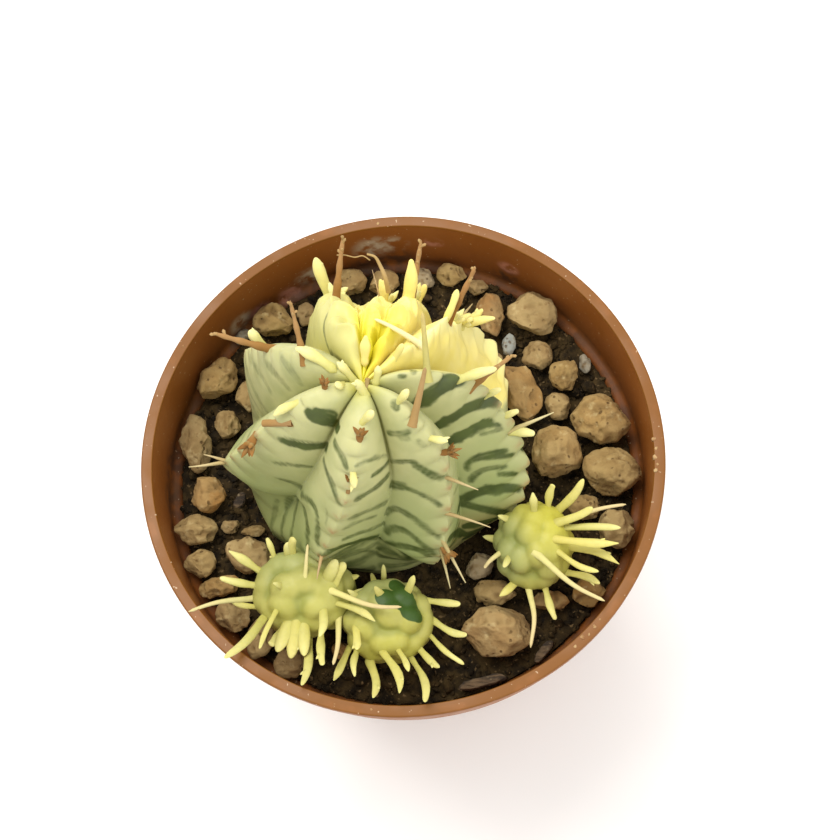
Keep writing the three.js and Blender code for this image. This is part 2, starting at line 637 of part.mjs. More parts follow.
// ---------------------------------------------------------------- assembly
const plantClear = ribbedBody(GAP + 0.1);
const stemHoles = OFFSETS.map(({ centre: [x, y] }) =>
  rod(STEM_R + GAP, RIM_Z + STEM_FOOT - GAP, RIM_Z, x, y, 10),
);
add("pot", surface(makePot()), COLOURS.pot, 0.5);
add("soil", surface(makeSoil(plantClear, stemHoles)), COLOURS.soil, 1);
add("plant", surface(makePlant()), COLOURS.plant, 0.6);
const taken = [plantClear];
for (const offset of OFFSETS) {
  add(offset.name, surface(makeOffset(offset, taken)), COLOURS.offset, 0.55);
  taken.push(headBall(offset, GAP + 0.1));
}

const keepOut = [[PLANT_X, PLANT_Y, 21.9]];
for (const { centre, size } of OFFSETS) keepOut.push([centre[0], centre[1], size[1] - 1]);
for (const [x, y, long] of BARK) keepOut.push([x, y, long * 0.36]);
settle(STONES, keepOut).forEach((stone, i) => {
  const name = `pumice_${String(i + 1).padStart(2, "0")}`;
  add(name, makeStone(stone, 101 + i), COLOURS.pumice, 0.95);
});
BARK.forEach((chip, i) => add(`bark_${i + 1}`, makeBark(chip, 301 + i), COLOURS.bark, 1));

export default potted;
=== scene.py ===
# %% [markdown]
# # A variegated ribbed euphorbia in its nursery pot
# The packed solids give every piece its place and size. This lesson dresses them: a thin
# turned pot, crumbly soil, pumice stones, and a ribbed succulent with its leaves, dry flower
# stalks and offsets. All lengths below are real millimetres, heights "from the rim" are
# negative inside the pot, and meshes are written out in metres.

# %% Load the fixed frame
import itertools
import math

import bmesh
import bpy
import numpy as np
from mathutils import Matrix, Vector


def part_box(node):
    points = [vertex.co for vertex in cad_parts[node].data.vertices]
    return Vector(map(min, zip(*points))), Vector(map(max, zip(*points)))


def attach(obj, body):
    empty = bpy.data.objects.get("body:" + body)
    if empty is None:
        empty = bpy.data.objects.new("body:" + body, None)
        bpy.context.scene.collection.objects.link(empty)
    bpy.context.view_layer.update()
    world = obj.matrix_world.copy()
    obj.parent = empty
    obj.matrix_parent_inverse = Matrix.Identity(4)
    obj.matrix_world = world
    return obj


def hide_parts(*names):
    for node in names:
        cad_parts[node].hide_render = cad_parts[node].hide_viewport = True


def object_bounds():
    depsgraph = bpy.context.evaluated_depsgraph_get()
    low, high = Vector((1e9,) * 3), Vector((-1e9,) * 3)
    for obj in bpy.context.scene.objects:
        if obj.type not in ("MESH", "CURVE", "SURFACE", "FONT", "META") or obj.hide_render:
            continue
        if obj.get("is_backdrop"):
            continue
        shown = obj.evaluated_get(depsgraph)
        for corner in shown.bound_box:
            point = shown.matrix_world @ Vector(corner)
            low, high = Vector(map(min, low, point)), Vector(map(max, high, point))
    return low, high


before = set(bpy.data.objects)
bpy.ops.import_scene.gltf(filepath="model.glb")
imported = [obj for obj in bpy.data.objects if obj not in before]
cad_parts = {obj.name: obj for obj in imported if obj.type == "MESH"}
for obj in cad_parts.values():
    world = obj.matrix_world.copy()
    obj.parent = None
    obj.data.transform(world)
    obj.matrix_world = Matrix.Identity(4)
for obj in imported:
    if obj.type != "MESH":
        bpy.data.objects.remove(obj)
cad_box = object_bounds()
print("solids in the frame:", len(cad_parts))

# %% [markdown]
# The pot is a common 8.5 cm one. Only a few sizes drive the whole scene, and the ones that
# the solids already hold are read from them, so the scene follows if the part changes.

# %% Driving sizes
MM = 0.001
RIM_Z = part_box("pot")[1].z / MM
RIM_R, LIP_WIDTH = 42.5, 1.9
COLLAR_DEPTH, LEDGE_WIDTH = 13.2, 1.8
WALL = 1.1
BASE_R, FOOT_RING, FOOT_LIFT = 29.0, 4.5, 1.4
HOLE_R, HOLE_RING_R = 3.5, 16.0
SOIL_LEVEL = -13.7
PLANT_X, PLANT_Y, PLANT_FOOT = -4.7, 4.0, -24.5
print("pot height, mm:", round(RIM_Z, 2))

# %% [markdown]
# Small tools come first: blending between two values, a soft step, a curve through three
# points, and a smooth random field. Lumps are looked up on a lattice of hashed numbers, so
# they're the same every run.


# %% Blending and smooth random lumps
def mix(low, high, part):
    return low + (high - low) * part


def ease(value, start, end):
    part = np.clip((value - start) / (end - start), 0.0, 1.0)
    return part * part * (3 - 2 * part)


def between(value, start, end, soft_edge):
    """1 from start to end, fading to 0 over the soft edges."""
    return ease(value, start - soft_edge, start + soft_edge) * (
        1 - ease(value, end - soft_edge, end + soft_edge)
    )


def bend(start, middle, end, t):
    """A curve from start to end that leans toward the middle; t is 0..1."""
    return (1 - t) ** 2 * start + 2 * t * (1 - t) * middle + t * t * end


def unit(ways):
    """Directions scaled to a length of one."""
    return ways / np.linalg.norm(ways, axis=-1, keepdims=True)


def lattice(corner, seed):
    """A random number, -1..1, for each lattice corner."""
    x, y, z = (corner.astype(np.int64) & 0xFFFF).T
    mixed = x * 73856093 ^ y * 19349663 ^ z * 83492791 ^ seed * 2654435
    mixed = ((mixed ^ (mixed >> 13)) * 1274126177) & 0xFFFFFFFF
    mixed = ((mixed ^ (mixed >> 16)) * 668265263) & 0xFFFFFFFF
    return (mixed ^ (mixed >> 15)) / 2147483648.0 - 1.0


def lumps(points, size, seed):
    """Smooth random heights, -1..1, that change over `size` millimetres."""
    place = np.asarray(points, float) / size
    corner = np.floor(place)
    part = place - corner
    part = part * part * (3 - 2 * part)
    total = np.zeros(len(place))
    for step in itertools.product((0, 1), repeat=3):
        weight = np.prod(np.where(np.array(step) == 1, part, 1 - part), axis=1)
        total += weight * lattice(corner + np.array(step), seed)
    return total


def rough(points, size, seed, layers=3):
    """Lumps with finer lumps on them."""
    total = np.zeros(len(points))
    for layer in range(layers):
        total += lumps(points, size / 2**layer, seed + layer) / 2**layer
    return total / (2 - 2.0 ** (1 - layers))


print("lumps at the origin:", lumps(np.zeros((1, 3)), 1.0, 1))

# %% [markdown]
# Every piece ends as a plain mesh whose object sits at the origin. These helpers put a mesh
# in the scene, turn points and faces into a piece, close a grid of rings into a skin, and
# hand the finished piece to the frame.


# %% Making pieces
def stand(name, data):
    """A new object at the origin that shows a mesh, a lamp or a camera."""
    made = bpy.data.objects.new(name, data)
    bpy.context.scene.collection.objects.link(made)
    return made


def mark(mesh, label, values):
    """Writes one number at each point of a mesh."""
    layer = mesh.attributes.new(label, "FLOAT", "POINT")
    layer.data.foreach_set("value", np.broadcast_to(np.float32(values), len(mesh.vertices)).copy())


def make_piece(name, points, faces, edges=(), **attributes):
    """An object from points in millimetres, with named numbers at its points."""
    mesh = bpy.data.meshes.new(name)
    mesh.from_pydata((np.asarray(points) * MM).tolist(), edges, faces)
    for label, values in attributes.items():
        mark(mesh, label, values)
    mesh.shade_smooth()
    return stand(name, mesh)


def skin_faces(sides, rings):
    """Faces of a closed skin: a top point, rings of `sides` points, and a bottom point."""
    faces = []
    for side in range(sides):
        after = (side + 1) % sides
        faces.append((0, 1 + side, 1 + after))
        for ring in range(rings - 1):
            low = 1 + ring * sides
            faces.append((low + side, low + sides + side, low + sides + after, low + after))
        last = 1 + (rings - 1) * sides
        faces.append((last + side, last + sides, last + after))
    return faces


def hand_over(piece, slot, *nodes, coat=None):
    """Gives a piece its finish, puts it under the root body and hides its solids. The slot is not
    used.
    """
    if coat:
        piece.data.shade_smooth()
        piece.data.materials.append(coat)
    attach(piece, "root")
    if nodes:
        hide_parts(*nodes)


def count(piece):
    piece.data.calc_loop_triangles()
    return len(piece.data.loop_triangles)


print("a closed ball of 8 sides and 5 rings has", len(skin_faces(8, 5)), "faces")

# %% [markdown]
# Every finish and every Geometry Nodes tree is a network of nodes. Two helpers keep them
# short: `plug` sets or connects one socket, and `knot` adds a node with its sockets.


# %% Setting and connecting nodes
def tint(red, green, blue):
    """A screen colour, 0..255, as the linear colour that shaders use."""
    parts = [part / 255 for part in (red, green, blue)]
    linear = [p / 12.92 if p <= 0.04045 else ((p + 0.055) / 1.055) ** 2.4 for p in parts]
    return (*linear, 1.0)


def plug(tree, socket, value):
    """Sets a socket to a value, or links it to an output or to a list of outputs."""
    for one in value if isinstance(value, list) else [value]:
        if isinstance(one, bpy.types.NodeSocket):
            tree.links.new(one, socket)
        else:
            socket.default_value = one


def knot(tree, kind, inputs=None, **settings):
    made = tree.nodes.new(kind)
    for key, value in settings.items():
        setattr(made, key, value)
    for key, value in (inputs or {}).items():
        plug(tree, made.inputs[key], value)
    return made


print("mid grey as a linear colour:", round(tint(128, 128, 128)[0], 3))

# %% [markdown]
# `Finish` builds a surface from coats of colour: a ground of two colours, then a coat
# wherever a mask is high. A mask is a noise pattern or a number painted on the piece.


# %% A finish in coats
class Finish:
    def __init__(self, name):
        self.material = bpy.data.materials.new(name)
        self.material.use_nodes = True
        self.tree = self.material.node_tree
        self.place = self.add("TexCoord").outputs["Object"]
        self.colour = None

    def add(self, kind, inputs=None, **settings):
        return knot(self.tree, "ShaderNode" + kind, inputs, **settings)

    def math(self, operation, *values):
        return self.add("Math", dict(enumerate(values)), operation=operation).outputs[0]

    def times(self, first, second):
        return self.math("MULTIPLY", first, second)

    def squeeze(self, value, low, high, out_low=0.0, out_high=1.0):
        inputs = {"Value": value, 1: low, 2: high, 3: out_low, 4: out_high}
        return self.add("MapRange", inputs, interpolation_type="SMOOTHSTEP").outputs[0]

    def noise(self, scale, detail, place=None):
        inputs = {"Vector": place or self.place, "Scale": scale, "Detail": detail}
        return self.add("TexNoise", inputs).outputs[0]

    def cloudy(self, size, low=0.4, high=0.6, detail=3.0, place=None):
        """A noise pattern of `size` millimetres, squeezed between two levels."""
        return self.squeeze(self.noise(1 / (size * MM), detail, place), low, high)

    def painted(self, label):
        """A named number that a piece carries at its points."""
        return self.add("Attribute", attribute_name=label).outputs["Fac"]

    def blend(self, mask, low, high):
        """Two colours, each an output or a screen colour, mixed by a mask."""
        low, high = (tint(*c) if isinstance(c, tuple) else c for c in (low, high))
        return self.add("Mix", {0: mask, 6: low, 7: high}, data_type="RGBA").outputs[2]

    def ground(self, mask, low, high):
        self.colour = self.blend(mask, low, high)

    def coat(self, mask, paint, strength=1.0):
        """A coat over the ones before; the mask is an output or a painted label."""
        if isinstance(mask, str):
            mask = self.painted(mask)
        if strength < 1:
            mask = self.times(mask, strength)
        self.colour = self.blend(mask, self.colour, paint)

    def close(self, roughness, specular=0.5, glow=0.0, glow_depth=1.0, relief=None):
        """Connects the coats. Relief is a height, its strength and its depth in mm."""
        inputs = {"Base Color": self.colour, "Roughness": roughness,
                  "Specular IOR Level": specular}
        if glow:
            inputs["Subsurface Weight"] = glow
            inputs["Subsurface Radius"] = (1.0, 0.8, 0.3)
            inputs["Subsurface Scale"] = glow_depth * MM
        if relief:
            height, strength, depth = relief
            bump = {"Height": height, "Strength": strength, "Distance": depth * MM}
            inputs["Normal"] = self.add("Bump", bump).outputs[0]
        shader = self.tree.nodes["Principled BSDF"]
        for label, value in inputs.items():
            plug(self.tree, shader.inputs[label], value)
        return self.material


print("ways to work on a finish:", [way for way in vars(Finish) if way[0] != "_"])

# %% [markdown]
# ## The camera, the table and the light
# The view looks steeply down from a hand's height above the pot, a little from the right,
# with the picture turned ten degrees. The camera's axes are built from those angles.

# %% Camera
VIEW_RISE = math.radians(71.97)
VIEW_SIDE = math.radians(10.0)
VIEW_ROLL = math.radians(10.0)
VIEW_DISTANCE = 280.0
# The focal length and the place of the rim's centre, in pixels of an image 840 wide
PICTURE = 840.0
FOCAL = 1735.0
CENTRE_X, CENTRE_Y = 401.6, 455.4

rim_centre = Vector((0, 0, RIM_Z)) * MM
flat_right = Vector((math.cos(VIEW_SIDE), math.sin(VIEW_SIDE), 0))
back = Vector((
    math.cos(VIEW_RISE) * math.sin(VIEW_SIDE),
    -math.cos(VIEW_RISE) * math.cos(VIEW_SIDE),
    math.sin(VIEW_RISE),
))
flat_up = back.cross(flat_right)
right = flat_right * math.cos(VIEW_ROLL) - flat_up * math.sin(VIEW_ROLL)
up = flat_right * math.sin(VIEW_ROLL) + flat_up * math.cos(VIEW_ROLL)

camera_data = bpy.data.cameras.new("camera")
camera_data.sensor_width = 36.0
camera_data.lens = FOCAL / PICTURE * camera_data.sensor_width
camera_data.shift_x = (PICTURE / 2 - CENTRE_X) / PICTURE
camera_data.shift_y = (CENTRE_Y - PICTURE / 2) / PICTURE
camera_data.clip_start = 0.01
camera = stand("camera", camera_data)
camera.matrix_world = Matrix.Translation(rim_centre + back * VIEW_DISTANCE * MM) @ Matrix(
    (right, up, back)
).transposed().to_4x4()
bpy.context.scene.camera = camera
print("lens, mm:", round(camera_data.lens, 1))

# %% [markdown]
# A nearly white table and large lamps give the even light of a shop window on a dull day. The
# main lamp is above the far left, so the near sides of the ribs fall into a soft shade.


# %% Table and lamps
def lamp(name, place, power, size, colour):
    """A square lamp at a place in millimetres that shines at the plant."""
    data = bpy.data.lights.new(name, "AREA")
    data.energy = power
    data.size = size * MM
    data.color = colour
    made = stand(name, data)
    made.location = Vector(place) * MM
    aim = rim_centre - made.location
    made.rotation_euler = aim.to_track_quat("-Z", "Y").to_euler()


lamp("main_lamp", (-150, 190, 600), 3.6, 420, (1.0, 0.97, 0.92))
lamp("fill_lamp", (380, -260, 420), 1.3, 420, (1.0, 0.98, 0.95))

world = bpy.data.worlds.new("studio")
bpy.context.scene.world = world
world.use_nodes = True
sky = world.node_tree.nodes["Background"].inputs
sky["Color"].default_value = (1.0, 0.985, 0.96, 1)
sky["Strength"].default_value = 0.86
bpy.context.scene.view_settings.view_transform = "Standard"

TABLE_REACH = 3000.0
corners = np.array([(-1, -1, 0), (1, -1, 0), (1, 1, 0), (-1, 1, 0)])
table = make_piece("table", corners * TABLE_REACH, [(0, 1, 2, 3)])
white = Finish("white table")
white.ground(white.cloudy(60.0), (246, 246, 246), (250, 250, 250))
table.data.materials.append(white.close(0.7))
table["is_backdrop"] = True
print("stage is set")

# %% [markdown]
# ## The pot
# The real pot is thin moulded plastic: a tapered wall, a wide collar with a ledge inside
# where pots nest, and a narrow rolled lip. A potter would turn it, and so does this cell: a
# Geometry Nodes tree sweeps the wall's outline round a circle and drills the drainage holes.

# %% The outline of the wall
LEDGE_Z = RIM_Z - COLLAR_DEPTH
FLOOR_TOP = FOOT_LIFT + 1.5
INNER_R = RIM_R - LIP_WIDTH
LEDGE_R = INNER_R - 0.7 - LEDGE_WIDTH
INNER_BASE_R = BASE_R - 0.3


def rounded(corners, radius, steps):
    """A closed outline with each corner replaced by a small arc."""
    outline = []
    for i, corner in enumerate(corners):
        here = np.array(corner)
        before = np.array(corners[i - 1]) - here
        after = np.array(corners[(i + 1) % len(corners)]) - here
        room = min(radius, 0.45 * np.linalg.norm(before), 0.45 * np.linalg.norm(after))
        start, end = here + unit(before) * room, here + unit(after) * room
        if here[0] == 0:
            outline.append(here)
            continue
        outline += [bend(start, here, end, step / steps) for step in range(steps + 1)]
    return outline


POT_CORNERS = [
    (0, FOOT_LIFT),
    (BASE_R - FOOT_RING, FOOT_LIFT),
    (BASE_R - FOOT_RING + 0.5, 0),
    (BASE_R - 0.2, 0),
    (BASE_R + 0.4, 0.8),
    (LEDGE_R + WALL - 0.2, LEDGE_Z - 2.6),
    (LEDGE_R + WALL + 1.4, LEDGE_Z - 1.6),
    (INNER_R + 0.6, RIM_Z - 2.8),
    (RIM_R - 0.1, RIM_Z - 2.3),
    (RIM_R, RIM_Z - 0.2),
    (RIM_R - 0.2, RIM_Z),
    (INNER_R + 0.1, RIM_Z),
    (INNER_R, RIM_Z - 0.3),
    (INNER_R - 0.7, LEDGE_Z),
    (LEDGE_R, LEDGE_Z - 0.8),
    (INNER_BASE_R, FLOOR_TOP),
    (0, FLOOR_TOP),
]
pot_outline = rounded(POT_CORNERS, 0.7, 4)
print("outline points:", len(pot_outline))


# %% A Geometry Nodes tree in a few calls
class Tree:
    """A Geometry Nodes tree with a mesh, numbers and a finish as its inputs."""

    def __init__(self, name, **numbers):
        self.group = bpy.data.node_groups.new(name, "GeometryNodeTree")
        self.socket("Geometry", "Geometry")
        for label, value in numbers.items():
            kind = "Int" if isinstance(value, int) else "Float"
            self.socket(label, kind).default_value = value
        self.socket("finish", "Material")
        self.socket("Geometry", "Geometry", "OUTPUT")
        self.given = self.group.nodes.new("NodeGroupInput").outputs
        self.result = self.group.nodes.new("NodeGroupOutput").inputs[0]

    def socket(self, label, kind, way="INPUT"):
        make = self.group.interface.new_socket
        return make(label, in_out=way, socket_type="NodeSocket" + kind)

    def add(self, kind, inputs=None, output=0, **settings):
        family = "" if "Node" in kind else "GeometryNode"
        return knot(self.group, family + kind, inputs, **settings).outputs[output]

    def close(self, geometry):
        """Every tree ends by making its copies real and giving them their finish."""
        real = self.add("RealizeInstances", {0: geometry})
        coated = self.add("SetMaterial", {0: real, "Material": self.given["finish"]})
        plug(self.group, self.result, coated)
        print(self.group.name, "has", len(self.group.nodes), "nodes")

    def grow(self, source, **settings):
        """Runs the tree on an object and keeps the result as the object's plain mesh."""
        modifier = source.modifiers.new("tree", "NODES")
        modifier.node_group = self.group
        for item in self.group.interface.items_tree:
            if item.in_out == "INPUT" and item.name in settings:
                modifier[item.identifier] = settings[item.name]
        bpy.context.view_layer.update()
        graph = bpy.context.evaluated_depsgraph_get()
        mesh = bpy.data.meshes.new_from_object(source.evaluated_get(graph))
        source.modifiers.clear()
        source.data = mesh
        return source


print("ways to work on a tree:", [way for way in vars(Tree) if way[0] != "_"])

# %% [markdown]
# The first tree turns the pot. It sweeps the outline round a circle, merges the seam, and
# then drills a ring of holes and a middle hole through the floor.

# %% A tree that turns an outline
turning = Tree("turned pot", radius=0.04, sides=192, hole_radius=0.003, hole_ring=0.016)
given = turning.given
outline = turning.add("MeshToCurve", {0: given["Geometry"]})
way_round = {"Resolution": given["sides"], "Radius": given["radius"]}
circle = turning.add("CurvePrimitiveCircle", way_round)
turned = turning.add("CurveToMesh", {"Curve": circle, "Profile Curve": outline})
merged = turning.add("MergeByDistance", {0: turned, "Distance": 1e-6})
ring = turning.add("MeshCircle", {"Vertices": 6, "Radius": given["hole_ring"]})
middle = turning.add("MeshLine", {"Count": 1})
spots = turning.add("JoinGeometry", {0: [ring, middle]})
bit = {"Vertices": 40, "Radius": given["hole_radius"], "Depth": 0.012}
drill = turning.add("MeshCylinder", bit)
holes = turning.add("InstanceOnPoints", {"Points": spots, "Instance": drill})
real_holes = turning.add("RealizeInstances", {0: holes})
pair = {"Mesh 1": merged, "Mesh 2": real_holes}
drilled = turning.add("MeshBoolean", pair, operation="DIFFERENCE", solver="EXACT")
turning.close(drilled)

# %% [markdown]
# The plastic is a warm clay brown, with painted shade that darkens it down inside and in a
# blotchy band just above the soil, and it is paler on the lip where it has dried and chalked.
# Salt from hard water leaves whitish and pinkish patches above the soil, and handling leaves
# fine pale specks. The stains and the painted shade stay on the inner face, which the pot
# carries as a number called "inner".


# %% Clay-brown plastic
def near(look, spot, reach):
    """1 at a spot in millimetres, fading to 0 at `reach`."""
    where = tuple(part * MM for part in spot)
    away = look.add("VectorMath", {0: look.place, 1: where}, operation="DISTANCE")
    return look.squeeze(away.outputs["Value"], 0.25 * reach * MM, reach * MM, 1.0, 0.0)


def on_wall(turn, z):
    """A spot on the inner wall from its compass angle and its height from the rim."""
    r = INNER_R - 0.7 * -z / COLLAR_DEPTH
    return (r * math.cos(math.radians(turn)), r * math.sin(math.radians(turn)), RIM_Z + z)


# Each kind of stain: its colour, then spots as compass angle, height from the rim and reach
STAINS = [
    ((66, 44, 30), [(99, -12.4, 5.5), (92, -12, 4.5), (118, -13.4, 5.0), (176, -13.5, 6.0),
                    (64, -11, 3.6), (185, -12.5, 4.5)]),
    ((186, 170, 150), [(98, -6.6, 4.6), (93, -6.2, 3.4), (115, -10.2, 3.6), (136, -10.5, 3.4)]),
    ((190, 130, 112), [(83, -5.4, 2.2), (64, -7.9, 2.6), (121, -12.6, 3.4), (130, -12, 3.0)]),
]
plastic = Finish("clay-brown plastic")
height = plastic.add("SeparateXYZ", {0: plastic.place}).outputs[2]
level = plastic.add("VectorMath", {0: plastic.place, 1: (1, 1, 0)}, operation="MULTIPLY")
away = plastic.add("VectorMath", {0: level.outputs[0]}, operation="LENGTH").outputs["Value"]
inner = plastic.painted("inner")
# Painted shade: the inner wall grows darker down toward the soil
deep = plastic.squeeze(height, (RIM_Z - 1) * MM, (RIM_Z - 13) * MM)
plastic.ground(plastic.times(deep, inner), (142, 83, 32), (118, 66, 24))
plastic.coat(plastic.cloudy(14.0, 0.35, 0.7), (160, 102, 50), 0.20)
lip = plastic.squeeze(height, (RIM_Z - 0.55) * MM, (RIM_Z - 0.1) * MM)
plastic.coat(lip, (114, 71, 14), 0.85)
outside = plastic.squeeze(away, (RIM_R - 1.6) * MM, (RIM_R - 1.1) * MM)
plastic.coat(plastic.times(outside, plastic.cloudy(5.0, 0.5, 0.8)), (136, 85, 36))
ragged = plastic.cloudy(2.2, 0.36, 0.6, 5.0)
for stain, spots in STAINS:
    cover = 0.0
    for turn, z, reach in spots:
        cover = plastic.math("MAXIMUM", near(plastic, on_wall(turn, z), reach), cover)
    plastic.coat(plastic.times(plastic.times(cover, inner), ragged), stain, 0.85)
# Painted shade in a blotchy band just above the soil
shade_above_soil = plastic.squeeze(height, (RIM_Z - 10.5) * MM, (RIM_Z - 14.0) * MM)
shade_above_soil = plastic.times(plastic.times(shade_above_soil, plastic.cloudy(3.0, 0.35, 0.65, 4.0)), inner)
plastic.coat(shade_above_soil, (72, 46, 28), 0.7)
plastic.coat(plastic.cloudy(0.55, 0.74, 0.78, 1.0), (214, 190, 158), 0.55)
gloss = plastic.squeeze(plastic.cloudy(9.0, 0.3, 0.7), 0, 1, 0.42, 0.58)
pot_finish = plastic.close(gloss, 0.35, relief=(plastic.noise(1600.0, 4.0), 0.18, 0.06))
print("plastic finish nodes:", len(plastic.tree.nodes))

# %% Turn the pot
SWEEP_R = 20.0
line_points = [(r - SWEEP_R, -z, 0) for r, z in pot_outline]
edges = [(i, (i + 1) % len(line_points)) for i in range(len(line_points))]
pot = make_piece("pot_shell", line_points, [], edges)
turning.grow(
    pot, radius=SWEEP_R * MM, sides=200, hole_radius=HOLE_R * MM, hole_ring=HOLE_RING_R * MM,
    finish=pot_finish,
)
print("pot size:", [round(x / MM, 1) for x in pot.dimensions])


# %% A moulded pot is never quite round
def reshape(piece, change):
    """Moves a piece's points by a rule in millimetres; a rule may also return a measure."""
    mesh = piece.data
    points = np.zeros(len(mesh.vertices) * 3)
    mesh.vertices.foreach_get("co", points)
    moved = change(points.reshape(-1, 3) / MM)
    moved, measure = moved if isinstance(moved, tuple) else (moved, None)
    mesh.vertices.foreach_set("co", (moved * MM).ravel())
    mesh.update()
    return measure


OUT_OF_ROUND = 0.18  # mm, at the rim
ROUND_BELOW = 30.0


def warp_rim(points):
    """Pulls the upper wall in by a wave; lower down the pot stays round."""
    give = ease(points[:, 2], ROUND_BELOW, RIM_Z) * OUT_OF_ROUND
    turn = np.arctan2(points[:, 1], points[:, 0])
    wave = np.sin(3 * turn + 0.6) + 0.6 * np.sin(5 * turn + 2.0)
    points[:, :2] *= (1 - give * (1 + wave / 1.6) / 2 / 42)[:, None]
    return points


def weld(mesh, distance=1e-7, face_outward=True):
    """Merges doubled points, and turns the faces to look out of the closed skin."""
    bm = bmesh.new()
    bm.from_mesh(mesh)
    bmesh.ops.remove_doubles(bm, verts=bm.verts, dist=distance)
    if face_outward:
        bmesh.ops.recalc_face_normals(bm, faces=bm.faces)
    bm.to_mesh(mesh)
    bm.free()


reshape(pot, warp_rim)
weld(pot.data)
# The stains need to know which faces look at the pot's axis
toward_axis = [-p.normal.dot(Vector((*p.co.xy, 0)).normalized()) for p in pot.data.vertices]
mark(pot.data, "inner", ease(np.array(toward_axis), 0.1, 0.5))
pot.data.shade_smooth()
pot.data.set_sharp_from_angle(angle=math.radians(50))
hand_over(pot, "pot", "pot")
print("pot triangles:", count(pot))

# %% [markdown]
# ## The soil
# Potting soil is dark, with lumps a few millimetres across, finer grit, and crumbs lying
# loose on top. The bed is a disc of rings with rough heights, closed down to the pot's
# floor, and the loose crumbs are scattered over it by a Geometry Nodes tree.

# %% Dark crumbly soil
earth = Finish("potting soil")
earth.ground(earth.cloudy(2.4, 0.35, 0.65, 6.0), (29, 22, 11), (66, 52, 28))
# Lighter brown flecks: painted highlights on the grains
earth.coat(earth.cloudy(0.8, 0.60, 0.72, 3.0), (112, 92, 62))
earth.coat(earth.cloudy(1.3, 0.66, 0.72, 2.0), (26, 22, 18))
soil_finish = earth.close(0.95, 0.2, relief=(earth.noise(2200.0, 6.0), 0.7, 0.25))
print("soil finish nodes:", len(earth.tree.nodes))


# %% Soil bed
def ring_points(r, z, turns):
    """A level ring of points at angles round the axis."""
    return np.stack([r * np.cos(turns), r * np.sin(turns), np.full(len(turns), z)], 1)


BED_SIDES = 220
BED_RINGS = 84
SOIL_Z = RIM_Z + SOIL_LEVEL
bed_r = mix(INNER_BASE_R, LEDGE_R, (SOIL_Z - FLOOR_TOP) / (LEDGE_Z - 0.8 - FLOOR_TOP)) - 0.2
turns = np.linspace(0, 2 * np.pi, BED_SIDES, endpoint=False)
rows = [np.array([[0, 0, SOIL_Z]])]
for ring in range(1, BED_RINGS + 1):
    rows.append(ring_points(bed_r * ring / BED_RINGS, SOIL_Z, turns))
bed_points = np.concatenate(rows)
heights = 0.95 * rough(bed_points, 5.0, 11, 3) + 0.5 * np.abs(rough(bed_points, 1.7, 21, 3))
bed_points[:, 2] += heights - 0.2
for r, z in ((bed_r - 0.3, SOIL_Z - 3), (INNER_BASE_R - 0.4, FLOOR_TOP + 0.3)):
    bed_points = np.concatenate([bed_points, ring_points(r, z, turns)])
bed_points = np.concatenate([bed_points, [[0, 0, FLOOR_TOP + 0.3]]])
soil = make_piece("soil_bed", bed_points, skin_faces(BED_SIDES, BED_RINGS + 2))
weld(soil.data)
hand_over(soil, "soil", "soil", coat=soil_finish)
print("soil triangles:", count(soil))

# %% [markdown]
# Loose crumbs: points are scattered on the bed, each gets a small lumpy pebble with its own
# turn and size, and the copies are made real because an export drops instances. The same
# tree then lays a few larger chunks among them, kept away from the wall.

# %% Scatter the crumbs
crumbling = Tree(
    "loose crumbs", per_m2=700000.0, smallest=0.0003, largest=0.0010, seed=7, lowest=0.05, detail=1
)
given = crumbling.given
height = crumbling.add("ShaderNodeSeparateXYZ", {0: crumbling.add("InputPosition")}, output=2)
limit = {0: height, 1: given["lowest"]}
above = crumbling.add("FunctionNodeCompare", limit, operation="GREATER_THAN")
bed = {"Mesh": given["Geometry"], "Selection": above}
bed |= {"Density": given["per_m2"], "Seed": given["seed"]}
scatter = crumbling.add("DistributePointsOnFaces", bed)
crumb = crumbling.add("MeshIcoSphere", {"Radius": 1.0, "Subdivisions": given["detail"]})
flat = crumbling.add("Transform", {0: crumb, "Scale": (1, 0.75, 0.6)})
chance = "FunctionNodeRandomValue"
any_turn = {1: (6.28, 6.28, 6.28), "Seed": 3}
turn = crumbling.add(chance, any_turn, data_type="FLOAT_VECTOR")
any_size = {2: given["smallest"], 3: given["largest"], "Seed": 5}
size = crumbling.add(chance, any_size, output=1, data_type="FLOAT")
copies = {"Points": scatter, "Instance": flat, "Rotation": turn, "Scale": size}
crumbling.close(crumbling.add("InstanceOnPoints", copies))
LOWEST_CRUMB = (SOIL_Z - 1.6) * MM


def knead(points, depth, size, seeds, field=lumps):
    """Pushes points about in all three directions by a smooth random field."""
    return points + depth * np.stack([field(points, size, seed) for seed in seeds], 1)


crumbs = stand("soil_crumbs", soil.data.copy())
crumbling.grow(crumbs, lowest=LOWEST_CRUMB, finish=soil_finish, seed=7)
reshape(crumbs, lambda p: knead(p, 0.12, 0.5, (1, 2, 3)))
hand_over(crumbs, "soil")

chunks = stand("soil_chunks", soil.data.copy())
reshape(chunks, lambda p: p * (0.95, 0.95, 1.0) + (0, 0, 0.3))
crumbling.grow(
    chunks, per_m2=75000.0, smallest=0.0007, largest=0.0017, detail=2, lowest=LOWEST_CRUMB,
    finish=soil_finish, seed=19,
)
reshape(chunks, lambda p: knead(p, 0.35, 1.1, (4, 5, 6)))
hand_over(chunks, "soil")
print("crumb triangles:", count(crumbs), "chunk triangles:", count(chunks))

# %% [markdown]
# A few pale flakes of dried soil and lime cling to the lip where the pot was handled. Each is
# a small ball with its points pushed in and out at random, and pressed flat.

